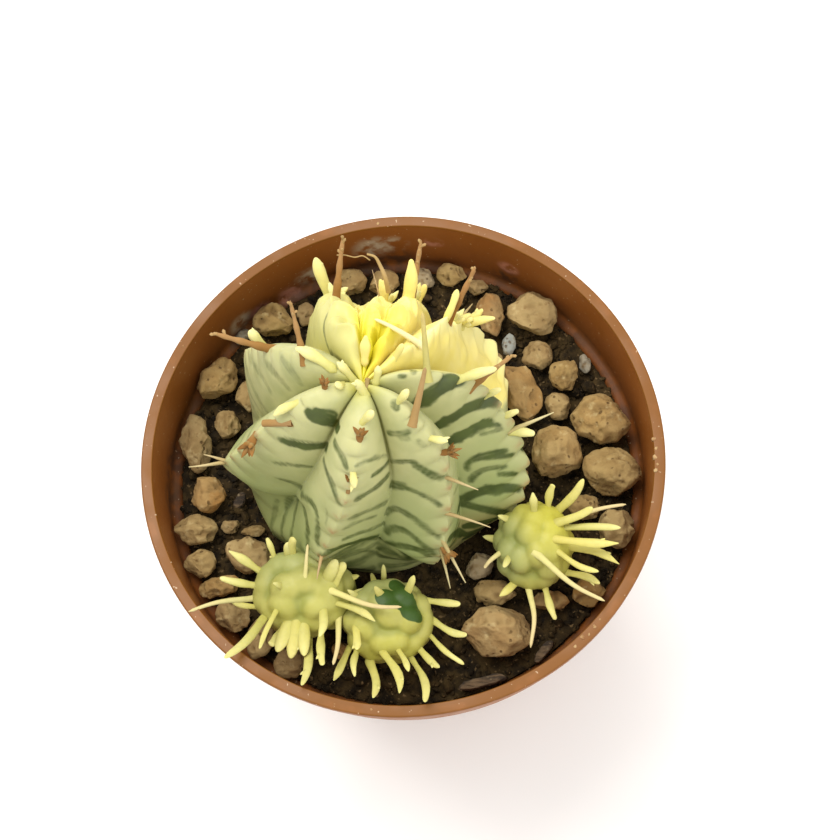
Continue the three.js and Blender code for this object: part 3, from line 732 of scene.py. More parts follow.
# %% Flakes on the lip
FLAKES = [  # compass angle, distance from the axis, size in mm
    (-4.0, 40.7, 0.9), (-2.6, 41.0, 0.6), (-1.0, 40.6, 1.1), (1.2, 40.9, 0.7), (3.4, 40.6, 0.9),
    (-43, 41.4, 0.8), (-45, 41.6, 0.6), (-46.5, 41.2, 1.0), (-49, 41.5, 0.7), (-41, 41.3, 0.5),
    (-96, 41.4, 0.6), (-104, 41.5, 0.5), (152, 41.3, 0.6), (96, 41.4, 0.7),
]
flake_points, flake_faces = [], []
dice = np.random.default_rng(77)
ball_faces = skin_faces(8, 5)
turns = np.radians(np.arange(8) * 45)
lifts = np.radians((60, 30, 0, -30, -60))
rings = [ring_points(math.cos(lift), math.sin(lift), turns) for lift in lifts]
ball = np.concatenate([[[0, 0, 1.0]], *rings, [[0, 0, -1.0]]])
for turn, away, size in FLAKES:
    lumpy = ball * (1 + 0.35 * dice.uniform(-1, 1, (len(ball), 1)))
    middle = ring_points(away, RIM_Z - 0.05, np.radians([turn]))
    flake_faces += [tuple(i + len(flake_points) for i in face) for face in ball_faces]
    flake_points += list(middle + lumpy * size * 0.4 * np.array([1, 1, 0.5]))
flakes = make_piece("lip_flakes", flake_points, flake_faces)
dried_soil = Finish("dried flakes")
dried_soil.ground(dried_soil.cloudy(1.0), (140, 100, 60), (176, 146, 102))
weld(flakes.data)
hand_over(flakes, "soil", coat=dried_soil.close(0.9))
print("flakes:", len(FLAKES), "triangles:", count(flakes))

# %% [markdown]
# ## The pumice
# Each stone starts as the solid that the frame holds for it: a copy is merged, smoothed by
# subdivision and pushed back out to its old size. Then flat breaks are pressed into it, and
# rough lumps and pits go over the whole surface, as on real crushed pumice.

# %% Porous tan stone
pumice = Finish("pumice")
pumice.ground(pumice.cloudy(4.0, 0.3, 0.7, 4.0), (138, 113, 69), (162, 138, 90))
rust = pumice.math("MULTIPLY_ADD", pumice.cloudy(5.0, 0.42, 0.62), 0.6, 0.4)
pumice.coat(pumice.times(rust, pumice.painted("ochre")), (148, 104, 46))
pumice.coat("grey", (142, 146, 140))
# Painted shade in the dips between knobs and in the pits
pumice.coat("hollow", (112, 88, 52), 0.75)
pumice.coat(pumice.cloudy(1.1, 0.60, 0.76, 4.0), (124, 98, 60))
pumice.coat(pumice.cloudy(1.6, 0.56, 0.80), (202, 184, 136), 0.5)
bubbles = pumice.add("TexVoronoi", {"Vector": pumice.place, "Scale": 800.0}, feature="F1")
pore = pumice.squeeze(bubbles.outputs["Distance"], 0.12, 0.28, 1.0, 0.0)
pore = pumice.times(pore, pumice.cloudy(2.0, 0.50, 0.60, 2.0))
# Painted shade inside the pores
pumice.coat(pore, (84, 62, 36), 0.75)
relief = pumice.math("SUBTRACT", pumice.noise(1200.0, 8.0), pumice.times(pore, 0.8))
stone_finish = pumice.close(0.94, 0.2, relief=(relief, 0.8, 0.30))
print("pumice finish nodes:", len(pumice.tree.nodes))


# %% Break, roughen and pit one stone
def rounded_copy(name, node, levels):
    """A smooth copy of a solid from the frame, with its own points."""
    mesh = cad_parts[node].data.copy()
    mesh.name = name
    copy = stand(name, mesh)
    weld(mesh, 1e-6, face_outward=False)
    mesh.materials.clear()
    subdivide = copy.modifiers.new("round", "SUBSURF")
    subdivide.levels = levels
    subdivide.render_levels = levels
    graph = bpy.context.evaluated_depsgraph_get()
    copy.data = bpy.data.meshes.new_from_object(copy.evaluated_get(graph))
    copy.modifiers.clear()
    return copy


BREAKS = 12
BIG_STONE = 4.6  # mm; a longer stone gets finer faces
KNOB_HEIGHT = 0.115  # as a part of the stone's half-width
GRIT_HEIGHT, PIT_DEPTH = 0.09, 0.8


def weather(points, low, high, seed):
    """Scales points back to their box, then breaks, knobs and pits them."""
    dice = np.random.default_rng(seed)
    centre = (low + high) / 2
    half = (high - low) / 2
    local = (points - centre) / np.abs(points - centre).max(0)
    for _ in range(BREAKS):
        way = unit(dice.normal(size=3))
        reach = local @ way
        limit = reach.max() * dice.uniform(0.70, 0.92)
        over = np.clip(reach - limit, 0, None)
        local -= 0.9 * over[:, None] * way
    moved = centre + local / np.abs(local).max(0) * half
    coarse = np.clip(half.mean() * 0.75, 1.2, 2.6)
    knobs = 0.55 - np.abs(lumps(points, coarse, seed)) * 1.5
    knobs += 0.5 * (0.5 - np.abs(lumps(points, coarse * 0.5, seed + 3)) * 1.5)
    height = KNOB_HEIGHT * half.mean() * knobs + GRIT_HEIGHT * rough(points, 0.8, seed + 9, 2)
    pits = np.clip(lumps(points, 0.9, seed + 5) - 0.45, 0, None)
    # How deep each point lies in a dip or pit, for painted shade
    hollow = np.clip(-knobs * 1.2, 0, 1) + np.clip(pits * 2, 0, 1)
    return moved + unit(local) * (height - PIT_DEPTH * pits)[:, None], np.clip(hollow, 0, 1)


print("flat breaks on a stone:", BREAKS)

# %% Every stone in its place
stone_names = sorted(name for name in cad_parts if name.startswith("pumice_"))
# How rusty and how grey the stones are that differ from the rest
OCHRE = {"03": 0.8, "10": 0.45, "12": 0.3, "15": 0.6, "18": 0.75, "19": 0.7, "20": 0.35,
         "28": 0.25, "33": 0.9, "39": 0.65, "42": 0.3, "43": 0.75}
GREY = {"05": 0.95, "08": 0.6, "22": 0.3, "27": 0.35, "32": 0.6}
stone_total = 0
for number, name in enumerate(stone_names):
    low, high = (np.array(corner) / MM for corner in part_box(name))
    levels = 3 if max(high - low) > BIG_STONE else 2
    stone = rounded_copy(name.replace("pumice", "stone"), name, levels)
    hollow = reshape(stone, lambda points: weather(points, low, high, 500 + number))
    dice = np.random.default_rng(900 + number)
    mark(stone.data, "ochre", OCHRE.get(name[-2:], dice.uniform(0, 0.2)))
    mark(stone.data, "grey", GREY.get(name[-2:], dice.uniform(0, 0.1)))
    mark(stone.data, "hollow", hollow)
    hand_over(stone, "pumice", name, coat=stone_finish)
    stone_total += count(stone)
print("stones:", len(stone_names), "triangles:", stone_total)

# %% [markdown]
# ## Bark
# A few chips of old bark lie in the soil. They're copies of the solids too. Their colour runs
# in long streaks, because the layers of bark do.

# %% Weathered bark
old_bark = Finish("old bark")
streak = old_bark.add("Mapping", {"Vector": old_bark.place, "Scale": (0.35, 1.6, 1.6)})
layers = old_bark.cloudy(1.0, 0.35, 0.65, 5.0, place=streak.outputs[0])
old_bark.ground(layers, (46, 36, 26), (104, 84, 60))
old_bark.coat(old_bark.cloudy(0.8, 0.6, 0.75), (132, 116, 88))
bark_finish = old_bark.close(0.9, relief=(layers, 0.7, 0.25))

for number, name in enumerate(sorted(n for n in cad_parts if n.startswith("bark_"))):
    chip = rounded_copy(name.replace("bark", "bark_chip"), name, 4)
    first_seed = 40 + number * 7
    reshape(chip, lambda p: knead(p, 0.22, 1.1, range(first_seed, first_seed + 3), rough))
    hand_over(chip, "bark", name, coat=bark_finish)
    print(chip.name, count(chip))

# %% [markdown]
# ## The ribbed body
# The stem is a squat globe with nine ribs. Two lines drive it: the crest of a rib and the
# groove beside it, each running from the sunken growing point over the shoulder and down
# under the soil. Every point of the skin is a blend of the two, turned to its place.

# %% Crest, groove and ribs
CREST = [
    (0, 23.0), (3.0, 24.6), (6.5, 25.2), (10.0, 23.9), (13.5, 20.8), (16.5, 16.6),
    (19.2, 11.4), (21.8, 5.4), (23.6, 0.5), (23.8, -3.0), (22.8, -6.6), (21.5, -10.2),
    (20.6, -13.6), (15.0, -20.0), (7.0, -24.0), (0, PLANT_FOOT),
]
GROOVE = [
    (0, 23.0), (1.5, 22.9), (3.8, 22.3), (6.6, 20.0), (9.2, 16.4), (11.6, 12.0),
    (13.8, 7.6), (15.8, 2.6), (17.3, -1.8), (18.9, -5.2), (20.1, -8.4), (20.4, -11.2),
    (20.0, -14.0), (14.0, -20.0), (6.5, -24.0), (0, PLANT_FOOT),
]
# Rib, its compass angle at even steps along the crest, its reach as a part of the common
# outline, how far the groove after it bulges low down, and how much rounder it is across
RIBS = [
    ("west", (194, 199, 198, 193, 190), 1.03, 1.8, 1),
    ("south", (281, 268, 259.5, 250.5, 247), 0.97, 0.6, 1),
    ("south_east", (331, 323, 317.5, 301.5, 295), 0.97, 0, 1),
    ("east", (366, 366, 364, 348, 332), 1.08, 0, 1),
    ("north_east", (390, 397, 407, 405, 384), 1.02, 0, 1),
    ("north_a", (419, 424, 429, 431, 431), 0.96, 0, 1.25),
    ("north_b", (440, 442, 443, 443, 443), 0.88, 0, 1.3),
    ("north_west", (458, 464, 467, 468, 469), 1.0, 0, 1.9),
    ("far_west", (519, 516, 511, 507, 506), 1.07, 0, 1.1),
]
RIB_NAMES, *rib_numbers = zip(*RIBS)
TURNS, REACH, BULGE, ROUND = (np.array(column, float) for column in rib_numbers)
FIRST_TURN, TURN_STEP = 0.05, 0.15  # where along the crest the listed angles hold
PITCH = 3.3  # mm from one tubercle to the next
print("ribs:", len(RIBS))


# %% Smooth lines through points
def hermite(start, end, slope, slope_after, t):
    """A smooth curve between two values with a slope at each; t is 0..1."""
    rise = end - start
    square = 3 * rise - 2 * slope - slope_after
    return start + slope * t + square * t**2 + (slope + slope_after - 2 * rise) * t**3


def through(points, along):
    """A smooth line through points, evenly shared between them; along is 0..1."""
    p = np.array(points, float)
    p = np.concatenate([[2 * p[0] - p[1]], p, [2 * p[-1] - p[-2]]])
    spans = len(points) - 1
    at = np.clip(np.asarray(along, float) * spans, 0, spans - 1e-9)
    i = at.astype(int)
    t = (at - i)[:, None]
    a, b, c, d = p[i], p[i + 1], p[i + 2], p[i + 3]
    pairs = ((a, b), (b, c), (c, d))
    ab, bc, cd = (np.sqrt(np.linalg.norm(v - u, axis=1))[:, None] for u, v in pairs)
    start = ((b - a) / ab - (c - a) / (ab + bc) + (c - b) / bc) * bc
    end = ((c - b) / bc - (d - b) / (bc + cd) + (d - c) / cd) * bc
    return hermite(b, c, start, end, t)


steps = through(CREST, np.linspace(0, 1, 2000))
CREST_LENGTH = np.linalg.norm(np.diff(steps, axis=0), axis=1).sum()
print("crest length, mm:", round(CREST_LENGTH, 1))


# %% Any point of the body
def rib_angle(number, along):
    """A rib's compass angle, eased through the angles that it has at even steps."""
    last = TURNS.shape[1] - 1
    at = np.clip((along - FIRST_TURN) / TURN_STEP, 0, last)
    i = np.minimum(at.astype(int), last - 1)
    t = at - i
    here, after = TURNS[number, i], TURNS[number, i + 1]
    slope = (after - TURNS[number, np.maximum(i - 1, 0)]) / 2
    slope_after = (TURNS[number, np.minimum(i + 2, last)] - here) / 2
    return hermite(here, after, slope, slope_after, t)


def body_points(number, side, along, notch=0.0):
    """Points from rib number, side -1..1 from groove to groove, and along 0..1."""
    other = (number + np.where(side < 0, len(RIBS) - 1, 1)) % len(RIBS)
    angle = rib_angle(number, along)
    beside = rib_angle(other, along)
    beside = np.where((side < 0) & (beside > angle), beside - 360, beside)
    beside = np.where((side > 0) & (beside < angle), beside + 360, beside)
    width = np.abs(side)
    ridge = 1 - width ** (ROUND[number] * mix(1.9, 1.12, ease(along, 0.1, 0.42)))
    depth = np.clip(np.abs(beside - angle) / 36, 0.5, 1)
    reach = mix(REACH[number], (REACH[number] + REACH[other]) / 2, width)
    reach = mix(1.0, reach, ease(along, 0, 0.5))
    crest = through(CREST, along)
    groove = mix(crest, through(GROOVE, along), depth[:, None])
    p = mix(groove, crest, ridge[:, None])
    low = ease(along, 0.5, 0.62) * (1 - ease(along, 0.84, 0.95))
    bulge = np.where(side > 0, BULGE[number], BULGE[other]) * width**2 * low
    tooth = np.clip(ridge, 0, 1) ** 7 * (p[:, 0] > 0.01)
    r = p[:, 0] * reach + notch * tooth + bulge * (p[:, 0] > 0.01)
    turn = np.radians(mix(angle, (angle + beside) / 2, width))
    x = PLANT_X + r * np.cos(turn)
    y = PLANT_Y + r * np.sin(turn)
    return np.stack([x, y, RIM_Z + p[:, 1]], 1)


def crest_point(name, out):
    """Where a rib's crest is `out` millimetres from the plant's axis."""
    along = np.arange(0.02, 0.6, 0.002)
    number = np.full(len(along), RIB_NAMES.index(name))
    line = body_points(number, np.zeros(len(along)), along)
    away = np.hypot(line[:, 0] - PLANT_X, line[:, 1] - PLANT_Y)
    return line[np.argmax(away >= out)]


print("east crest at 20 mm:", crest_point("east", 20.0).round(1))

# %% [markdown]
# The dark bands are painted like brush strokes across the flanks. A stroke is a short line in
# two numbers: the place round the ring of ribs (0 is the west crest, 0.5 the groove after it,
# 1 the south crest, and so on) and the millimetres down from the growing point. The strokes
# of the four strongly banded flanks are listed one by one, since no two are alike.

# %% Strokes seen one by one
# Points of the stroke as (place, mm), its width in mm and its strength
STROKES = [
    (((0.18, 15.1), (0.35, 15.3), (0.62, 15.1)), 1.2, 0.9),
    (((0.24, 13.8), (0.42, 13.7)), 1.3, 0.95),
    (((0.18, 23.6), (0.30, 22.6), (0.55, 20.9)), 1.2, 0.9),
    (((0.18, 22.4), (0.35, 20.9)), 0.35, 0.5),
    (((0.22, 29.9), (0.35, 28.2), (0.47, 27.4)), 0.6, 0.55),
    (((0.32, 33.7), (0.40, 33.4), (0.50, 34.2)), 0.6, 0.55),
    (((0.40, 44.0), (0.55, 58.0)), 0.8, 0.4),
    (((0.45, 41.5), (0.65, 51.8)), 0.9, 0.5),
    (((0.47, 40.2), (0.62, 41.7), (0.75, 48.8)), 0.7, 0.5),
    (((0.55, 37.4), (0.75, 36.4), (0.88, 41.5)), 0.9, 0.65),
    (((0.57, 34.4), (0.78, 32.4), (0.93, 37.7)), 0.8, 0.65),
    (((0.65, 17.6), (0.82, 18.4), (0.93, 19.9)), 0.9, 0.6),
    (((0.60, 23.1), (0.80, 24.6), (0.95, 27.4)), 0.9, 0.6),
    (((0.88, 30.4), (0.93, 32.9)), 0.4, 0.4),
    (((1.02, 19.4), (1.20, 19.1), (1.45, 21.1)), 0.35, 0.5),
    (((1.23, 22.6), (1.32, 22.6), (1.48, 22.9)), 0.6, 0.7),
    (((1.10, 26.4), (1.25, 25.9), (1.45, 25.4)), 0.8, 0.65),
    (((1.10, 30.9), (1.25, 30.7), (1.45, 31.7)), 0.8, 0.55),
    (((1.07, 32.9), (1.20, 32.4), (1.35, 33.2)), 0.5, 0.45),
    (((1.12, 35.4), (1.27, 35.2), (1.50, 37.2)), 0.6, 0.6),
    (((1.00, 40.0), (1.18, 37.2), (1.45, 40.2)), 1.0, 0.85),
    (((1.90, 10.2), (1.87, 11.4)), 0.8, 0.6),
    (((1.57, 16.6), (1.82, 16.9)), 0.6, 0.6),
    (((1.70, 17.6), (1.78, 18.1)), 0.6, 0.4),
    (((1.88, 19.4), (1.90, 20.6)), 0.6, 0.4),
    (((1.52, 23.1), (1.73, 22.9), (1.77, 24.1)), 0.5, 0.7),
    (((1.75, 23.6), (1.82, 25.4), (1.93, 27.7)), 1.3, 0.7),
    (((1.50, 28.4), (1.62, 28.2)), 1.2, 0.7),
    (((1.62, 28.4), (1.77, 29.9), (1.93, 32.4)), 0.6, 0.65),
    (((1.50, 34.9), (1.65, 33.4), (1.95, 38.0)), 0.9, 0.6),
    (((1.55, 39.0), (1.70, 37.2), (1.95, 42.2)), 1.0, 0.65),
    (((1.55, 42.2), (1.77, 40.7), (1.93, 43.7)), 0.9, 0.7),
    (((1.52, 44.0), (1.70, 44.2), (1.82, 50.0)), 1.0, 0.75),
    (((2.60, 17.9), (2.83, 18.6), (2.98, 20.9)), 2.3, 1.05),
    (((2.52, 24.9), (2.77, 25.9), (2.98, 29.2)), 1.5, 1.05),
    (((2.52, 29.2), (2.75, 29.9), (2.86, 31.0)), 1.3, 1.05),
    (((2.84, 30.8), (2.92, 32.4)), 0.6, 0.8),
    (((2.77, 31.4), (2.92, 33.0)), 0.5, 0.6),
    (((2.58, 34.9), (2.67, 34.2), (2.88, 35.9)), 0.8, 0.8),
    (((2.73, 34.9), (2.92, 37.2)), 0.5, 0.7),
    (((2.60, 37.7), (2.70, 36.7), (2.85, 38.2)), 0.7, 0.7),
    (((2.80, 38.7), (2.92, 40.5)), 0.6, 0.75),
    (((2.50, 41.7), (2.70, 40.6), (2.95, 43.7)), 1.2, 0.95),
    (((2.30, 39.2), (2.65, 44.2), (2.98, 50.0)), 0.9, 0.9),
    (((2.08, 40.2), (2.40, 48.0), (2.60, 56.0)), 1.2, 1.0),
    (((2.30, 26.6), (2.05, 26.6), (2.00, 30.2)), 0.25, 0.5),
    (((2.10, 32.4), (2.33, 34.4), (2.50, 36.7)), 0.5, 0.4),
    (((3.70, 38.6), (3.80, 43.2)), 0.7, 0.65),
    (((3.70, 44.5), (3.92, 48.0)), 0.9, 0.75),
    (((3.02, 12.1), (3.25, 12.5)), 0.5, 0.5),
    (((2.92, 9.2), (2.90, 10.4)), 0.5, 0.6),
    (((7.22, 20.1), (7.38, 19.4), (7.62, 15.3)), 0.7, 0.55),
    (((8.15, 26.4), (8.25, 24.1), (8.38, 23.1)), 1.4, 0.38),
    (((8.07, 35.2), (8.22, 31.2), (8.35, 30.2)), 1.3, 0.34),
    (((8.10, 19.9), (8.25, 18.6), (8.38, 18.6)), 1.2, 0.36),
    (((8.43, 39.2), (8.78, 32.7), (8.98, 32.2)), 0.6, 0.40),
    (((8.78, 24.4), (8.90, 25.6), (8.97, 28.9)), 0.5, 0.35),
    (((8.40, 45.0), (8.80, 35.6), (8.95, 37.2)), 0.6, 0.35),
    (((8.38, 49.3), (8.70, 43.0), (8.92, 39.5)), 0.6, 0.35),
    (((1.10, 43.5), (1.25, 42.0), (1.48, 44.5)), 0.8, 0.55),
    (((1.06, 47.5), (1.22, 45.5), (1.45, 49.0)), 0.8, 0.50),
    (((1.52, 48.0), (1.66, 47.5), (1.80, 52.0)), 1.0, 0.60),
]
print("strokes listed:", len(STROKES))

# %% The other flanks
# The remaining flanks follow a rule: rib, side, first and last band, lean, width, strength
BANDED = [
    ("west", -1, 42, 52, 6.0, 0.9, 0.42),
    ("far_west", 1, 40, 52, 5.0, 1.2, 0.36),
    ("far_west", -1, 30, 50, 4.0, 1.0, 0.28),
    ("north_west", 1, 30, 50, 5.0, 0.8, 0.22),
    ("east", 1, 30, 52, 4.0, 1.0, 0.75),
    ("south_east", 1, 45, 56, 6.0, 1.0, 0.7),
    ("east", -1, 50, 60, 5.0, 1.0, 0.9),
    ("south", 1, 45, 58, 4.0, 1.1, 0.5),
    ("south_east", -1, 50, 60, 5.0, 1.0, 0.6),
]
dice = np.random.default_rng(17)
all_strokes = list(STROKES)
for rib, way, first, last, lean, wide, strength in BANDED:
    crest_place = RIB_NAMES.index(rib)
    middle = first + dice.uniform(0, 1)
    while middle < last:
        slant = lean * dice.uniform(0.8, 1.2)
        path = [
            (crest_place + way * reach, middle - slant * reach + dice.uniform(-0.3, 0.3))
            for reach in (dice.uniform(0.04, 0.12), 0.27, dice.uniform(0.42, 0.5))
        ]
        all_strokes.append((path, wide * dice.uniform(0.8, 1.2), strength * dice.uniform(0.8, 1.1)))
        middle += PITCH * dice.uniform(1.0, 1.35)


print("strokes:", len(all_strokes))

# %% [markdown]
# A stroke is laid down by distance: each point of the skin finds the nearest sample of the
# stroke, and takes ink by how far off that is. Lumps make the edge waver and fine streaks run
# along the stroke, as a brush leaves them.


# %% Painting the strokes
def at_place(place, distance):
    """Body points from places round the ring and millimetres down the crest."""
    number = np.round(place).astype(int) % len(RIBS)
    side = np.clip(2 * (place - np.round(place)), -1, 1)
    return body_points(number, side, distance / CREST_LENGTH)


SAMPLES = 25  # along one stroke
BRUSH_REACH = 2.5


def paint(points, strokes):
    """How dark each point is, 0..1, from the strokes' distance over the skin."""
    dark = np.zeros(len(points))
    wobble = 1 + 0.30 * lumps(points, 2.2, 31) + 0.22 * lumps(points, 0.9, 32)
    blotch = 0.14 * lumps(points, 0.7, 33) + 0.14 * lumps(points, 3.0, 34)
    brush = np.random.default_rng(41)
    for path, wide, strength in strokes:
        hair, phase, drift = brush.uniform(5, 8), brush.uniform(0, 6), brush.uniform(0, 6)
        knots = np.array(path, float)
        t = np.linspace(0, 1, SAMPLES)
        if len(knots) == 3:
            knots[1] = 2 * knots[1] - (knots[0] + knots[2]) / 2
            line = bend(*knots, t[:, None])
        else:
            line = mix(*knots, t[:, None])
        place = at_place(line[:, 0], line[:, 1])
        box_low, box_high = place.min(0) - BRUSH_REACH, place.max(0) + BRUSH_REACH
        near_by = np.flatnonzero(np.all((points > box_low) & (points < box_high), axis=1))
        if len(near_by) == 0:
            continue
        away = np.linalg.norm(points[near_by, None] - place[None], axis=2)
        at = away.argmin(1)
        apart = away.min(1)
        above = np.sign(points[near_by, 2] - place[at, 2]) * apart
        streak = 0.5 + 0.5 * np.sin(above * hair + phase + 1.6 * np.sin(4 * t[at] + drift))
        taper = (0.6 + 0.4 * np.sin(np.pi * np.clip(t[at] * 0.8 + 0.12, 0, 1)) ** 0.6) * wide
        ink = 1 - ease(apart * wobble[near_by], 0.40 * taper, 0.86 * taper + 0.42)
        ink *= strength * (1.08 + blotch[near_by] - 0.22 * streak)
        dark[near_by] = np.maximum(dark[near_by], ink)
    return np.clip(dark, 0, 1)


sample = at_place(np.array([0.4]), np.array([15.2]))
print("ink in the middle of the first stroke:", paint(sample, STROKES[:1]).round(2))

# %% [markdown]
# The body's skin is one closed grid. A column of points follows each line between groove and
# crest, and a row of points goes round at each step from the growing point to the foot. The
# tubercles are swellings of the crest with a sharp notch between them.

# %% Skin of the body
RIB_COLUMNS = 42
BODY_ROWS, BURIED_ROWS = 232, 14
BURIED_FROM = 0.80  # along the crest; below the soil the rows are far apart
sides_all = len(RIBS) * RIB_COLUMNS
column = np.arange(sides_all)
rows_above = np.linspace(0, BURIED_FROM, BODY_ROWS - BURIED_ROWS)[1:]
rows_below = np.linspace(BURIED_FROM, 1, BURIED_ROWS + 1)[1:-1]
row_along = np.concatenate([rows_above, rows_below])
number_grid = np.tile(column // RIB_COLUMNS, len(row_along))
even_side = (column % RIB_COLUMNS) / RIB_COLUMNS * 2 - 1
crowded_side = even_side - 0.07 * np.sin(2 * np.pi * even_side)
side_grid = np.tile(crowded_side, len(row_along))
along_grid = np.repeat(row_along, sides_all)
mm_grid = along_grid * CREST_LENGTH
TOOTH = np.array([0.5, 0.4, 0.5, 0.95, 0.85, 0.5, 0.4, 0.4, 0.5])  # notch of each rib, mm
beat = 2 * np.abs(np.cos(np.pi * mm_grid / PITCH)) ** 0.75 - 1
swell = ease(along_grid, 0.1, 0.25) * (1 - ease(along_grid, 0.7, 0.8))
notch = TOOTH[number_grid] * beat * swell
skin = body_points(number_grid, side_grid, along_grid, notch)
dark = paint(skin, all_strokes)
print("body grid:", sides_all, "x", len(row_along))

# %% [markdown]
# The skin is uneven. Its golden flanks are crumpled, the crests between them are swollen and
# their grooves have grown together. Across the front ribs runs a fold, where the head has
# sunk over its own foot. The fold is a line round the ribs with a depth at each place.

# %% Small unevenness
flat_out = unit(skin - np.array([PLANT_X, PLANT_Y, RIM_Z - 2]))
calm = ease(along_grid, 0.03, 0.12)
# Broad waves with a fine grain, then the crumpled flanks, in mm
soft = 0.20 * rough(skin, 6.0, 61, 2) + 0.03 * rough(skin, 1.2, 71, 2)
place_grid = number_grid + side_grid / 2
crumpled = 0.35 * between(place_grid, 3.7, 4.6, 0.2) + 1.0 * between(place_grid, 4.6, 7.2, 0.25)
creased = 0.5 - 1.6 * np.abs(lumps(skin, 3.6, 78))
soft += crumpled * (1.9 * creased + 0.5 * rough(skin, 2.4, 77, 2))
grown_together = between(place_grid, 4.6, 6.9, 0.15) * ease(mm_grid, 10, 20)
soft += 2.4 * grown_together * np.abs(side_grid) ** 2.5
RAISED = {"north_a": 1.3, "north_b": 1.0, "north_west": 0.8}  # swollen crests, in mm
for rib, lift in RAISED.items():
    beside_crest = (place_grid - RIB_NAMES.index(rib)) / 0.42
    soft += lift * np.exp(-(beside_crest**2) - ((mm_grid - 26) / 8) ** 2)
FOLD = [  # place, mm down the crest, depth in mm
    (-0.1, 46.0, 0.0), (0.0, 44.0, 0.3), (0.12, 42.0, 0.9), (0.28, 40.2, 1.2), (0.40, 39.2, 1.3),
    (0.50, 37.8, 1.2), (0.60, 35.4, 0.8), (0.70, 33.2, 0.3), (0.78, 33.0, 0.0), (0.92, 41.0, 0.0),
    (1.00, 40.2, 0.4), (1.08, 38.6, 1.0), (1.18, 37.8, 1.3), (1.32, 38.6, 1.5), (1.42, 40.2, 1.6),
    (1.55, 42.2, 1.5), (1.70, 43.0, 1.2), (1.82, 44.8, 0.8), (1.95, 48.8, 0.3), (2.10, 50.0, 0.0),
]
fold_place, fold_mm, fold_depth = (np.array(column) for column in zip(*FOLD))
past_fold = mm_grid - np.interp(place_grid, fold_place, fold_mm) + 0.4 * lumps(skin, 3.0, 55)
depth = np.interp(place_grid, fold_place, fold_depth)
folded = 0.30 * depth * np.exp(-(((past_fold + 1.6) / 2.2) ** 2))
folded -= depth * ease(past_fold, -0.4, 2.2) * (1 - ease(past_fold, 9, 16))
skin += flat_out * ((soft - 0.10 * dark + 0.03) * calm + folded)[:, None]
poles = body_points(np.array([0, 0]), np.array([0.0, 0.0]), np.array([0.0, 1.0]))
body_mesh_points = np.concatenate([poles[:1], skin, poles[1:]])
print("the fold moves the skin by", folded.min().round(2), "to", folded.max().round(2), "mm")

# %% [markdown]
# Where each colour lies is worked out once for every point of the skin, as numbers from 0 to
# 1 that the piece carries: the golden sector, the cream beside it, the pale crests, the green
# low down, the painted shade under the fold and low on the east flanks, the painted shade in
# the lines of the grooves, and the scars on the crests.


# %% Where the skin is green, cream or gold
def with_poles(values):
    return np.concatenate([values[:1], values, values[-1:]])


place_grid = place_grid % len(RIBS)
across = np.abs(side_grid)
ragged_edge = 0.06 * lumps(skin, 2.5, 91)
gold_from = 3.5 + 0.3 * ease(mm_grid, 40, 50) + ragged_edge
gold = ease(place_grid, gold_from - 0.03, gold_from + 0.05)
gold *= 1 - ease(place_grid + ragged_edge, 6.35, 7.05)
cream = between(place_grid + ragged_edge, 6.5, 7.6, 0.12)
beside_gold = between(place_grid + ragged_edge, 3.06, 3.6, 0.05) * (1 - ease(mm_grid, 30, 40))
deep_gold = between(place_grid, 4.7, 6.7, 0.2) * (1 - ease(mm_grid, 12, 26)) * mix(0.7, 1, across)
tip_gold = 0.8 * (1 - ease(mm_grid, 1.0, 9.0)) * mix(0.5, 1, across)
pale = ease(1 - across, 0.62, 0.98) * ease(mm_grid, 5, 18)
pale *= 1 - between(place_grid, 4.6, 6.6, 0.1)
front = np.maximum(between(place_grid, -1, 3.45, 0.15), between(place_grid, 8.6, 10, 0.2))
low_green = ease(mm_grid, 20, 45) * front
under = ease(past_fold, -0.3, 1.2) * np.clip(depth * 1.4, 0, 1)
shaded = under * mix(0.35, 1.0, between(place_grid, 0.9, 2.2, 0.1))
# Painted shade low on the flanks between the south-east and east crests
olive = between(place_grid, 2.02, 3.0, 0.05) * ease(mm_grid, 42, 48)
# Grooves: place, where the dark line of painted shade fades out in mm, strength
CREASES = [(0.5, 22, 0.9), (1.5, 27, 1.0), (2.5, 15, 0.7), (3.5, 9, 0.6), (4.5, 12, 0.5),
           (5.5, 9, 0.5), (6.5, 12, 0.8), (7.5, 18, 0.9), (8.5, 24, 0.6)]
# Painted shade: a dark line down each groove near the growing point
crease = np.zeros(len(place_grid))
for groove_place, fades, strength in CREASES:
    beside = np.abs(place_grid - groove_place) < 0.3
    line = strength * (1 - ease(mm_grid, fades * 0.7, fades * 1.2)) * ease(mm_grid, 0.8, 2.5)
    crease = np.where(beside, line, crease)
beat_from_top = np.abs((mm_grid / PITCH + 0.5) % 1 - 0.5) * PITCH
# A scar is a small cross line on the crest, once in every pitch
scar = np.exp(-((beat_from_top / 0.42) ** 2) - (across * 5.2 / 0.5) ** 2)
scar *= ease(mm_grid, 20, 27) * (1 - gold) * (1 - cream)
labels = {
    "band": dark, "gold": gold, "pale": pale, "low_green": low_green, "shaded": shaded,
    "olive": olive, "groove": across, "crease": crease, "scar": scar,
    "cream": np.maximum(cream, beside_gold * ease(mm_grid, 6, 12)),
    "deep_gold": np.maximum(deep_gold, 0.6 * tip_gold),
}
body = make_piece(
    "plant_body", body_mesh_points, skin_faces(sides_all, len(row_along)),
    **{label: with_poles(values) for label, values in labels.items()},
)
weld(body.data)
print("body triangles:", count(body))

# %% [markdown]
# The skin is waxy and a little translucent. Its colour is laid on in coats: pale grey-green,
# green low down, cream on the crests, gold where there is no leaf green, and then the dark
# bands, whose edges a fine noise breaks up as in a watercolour.

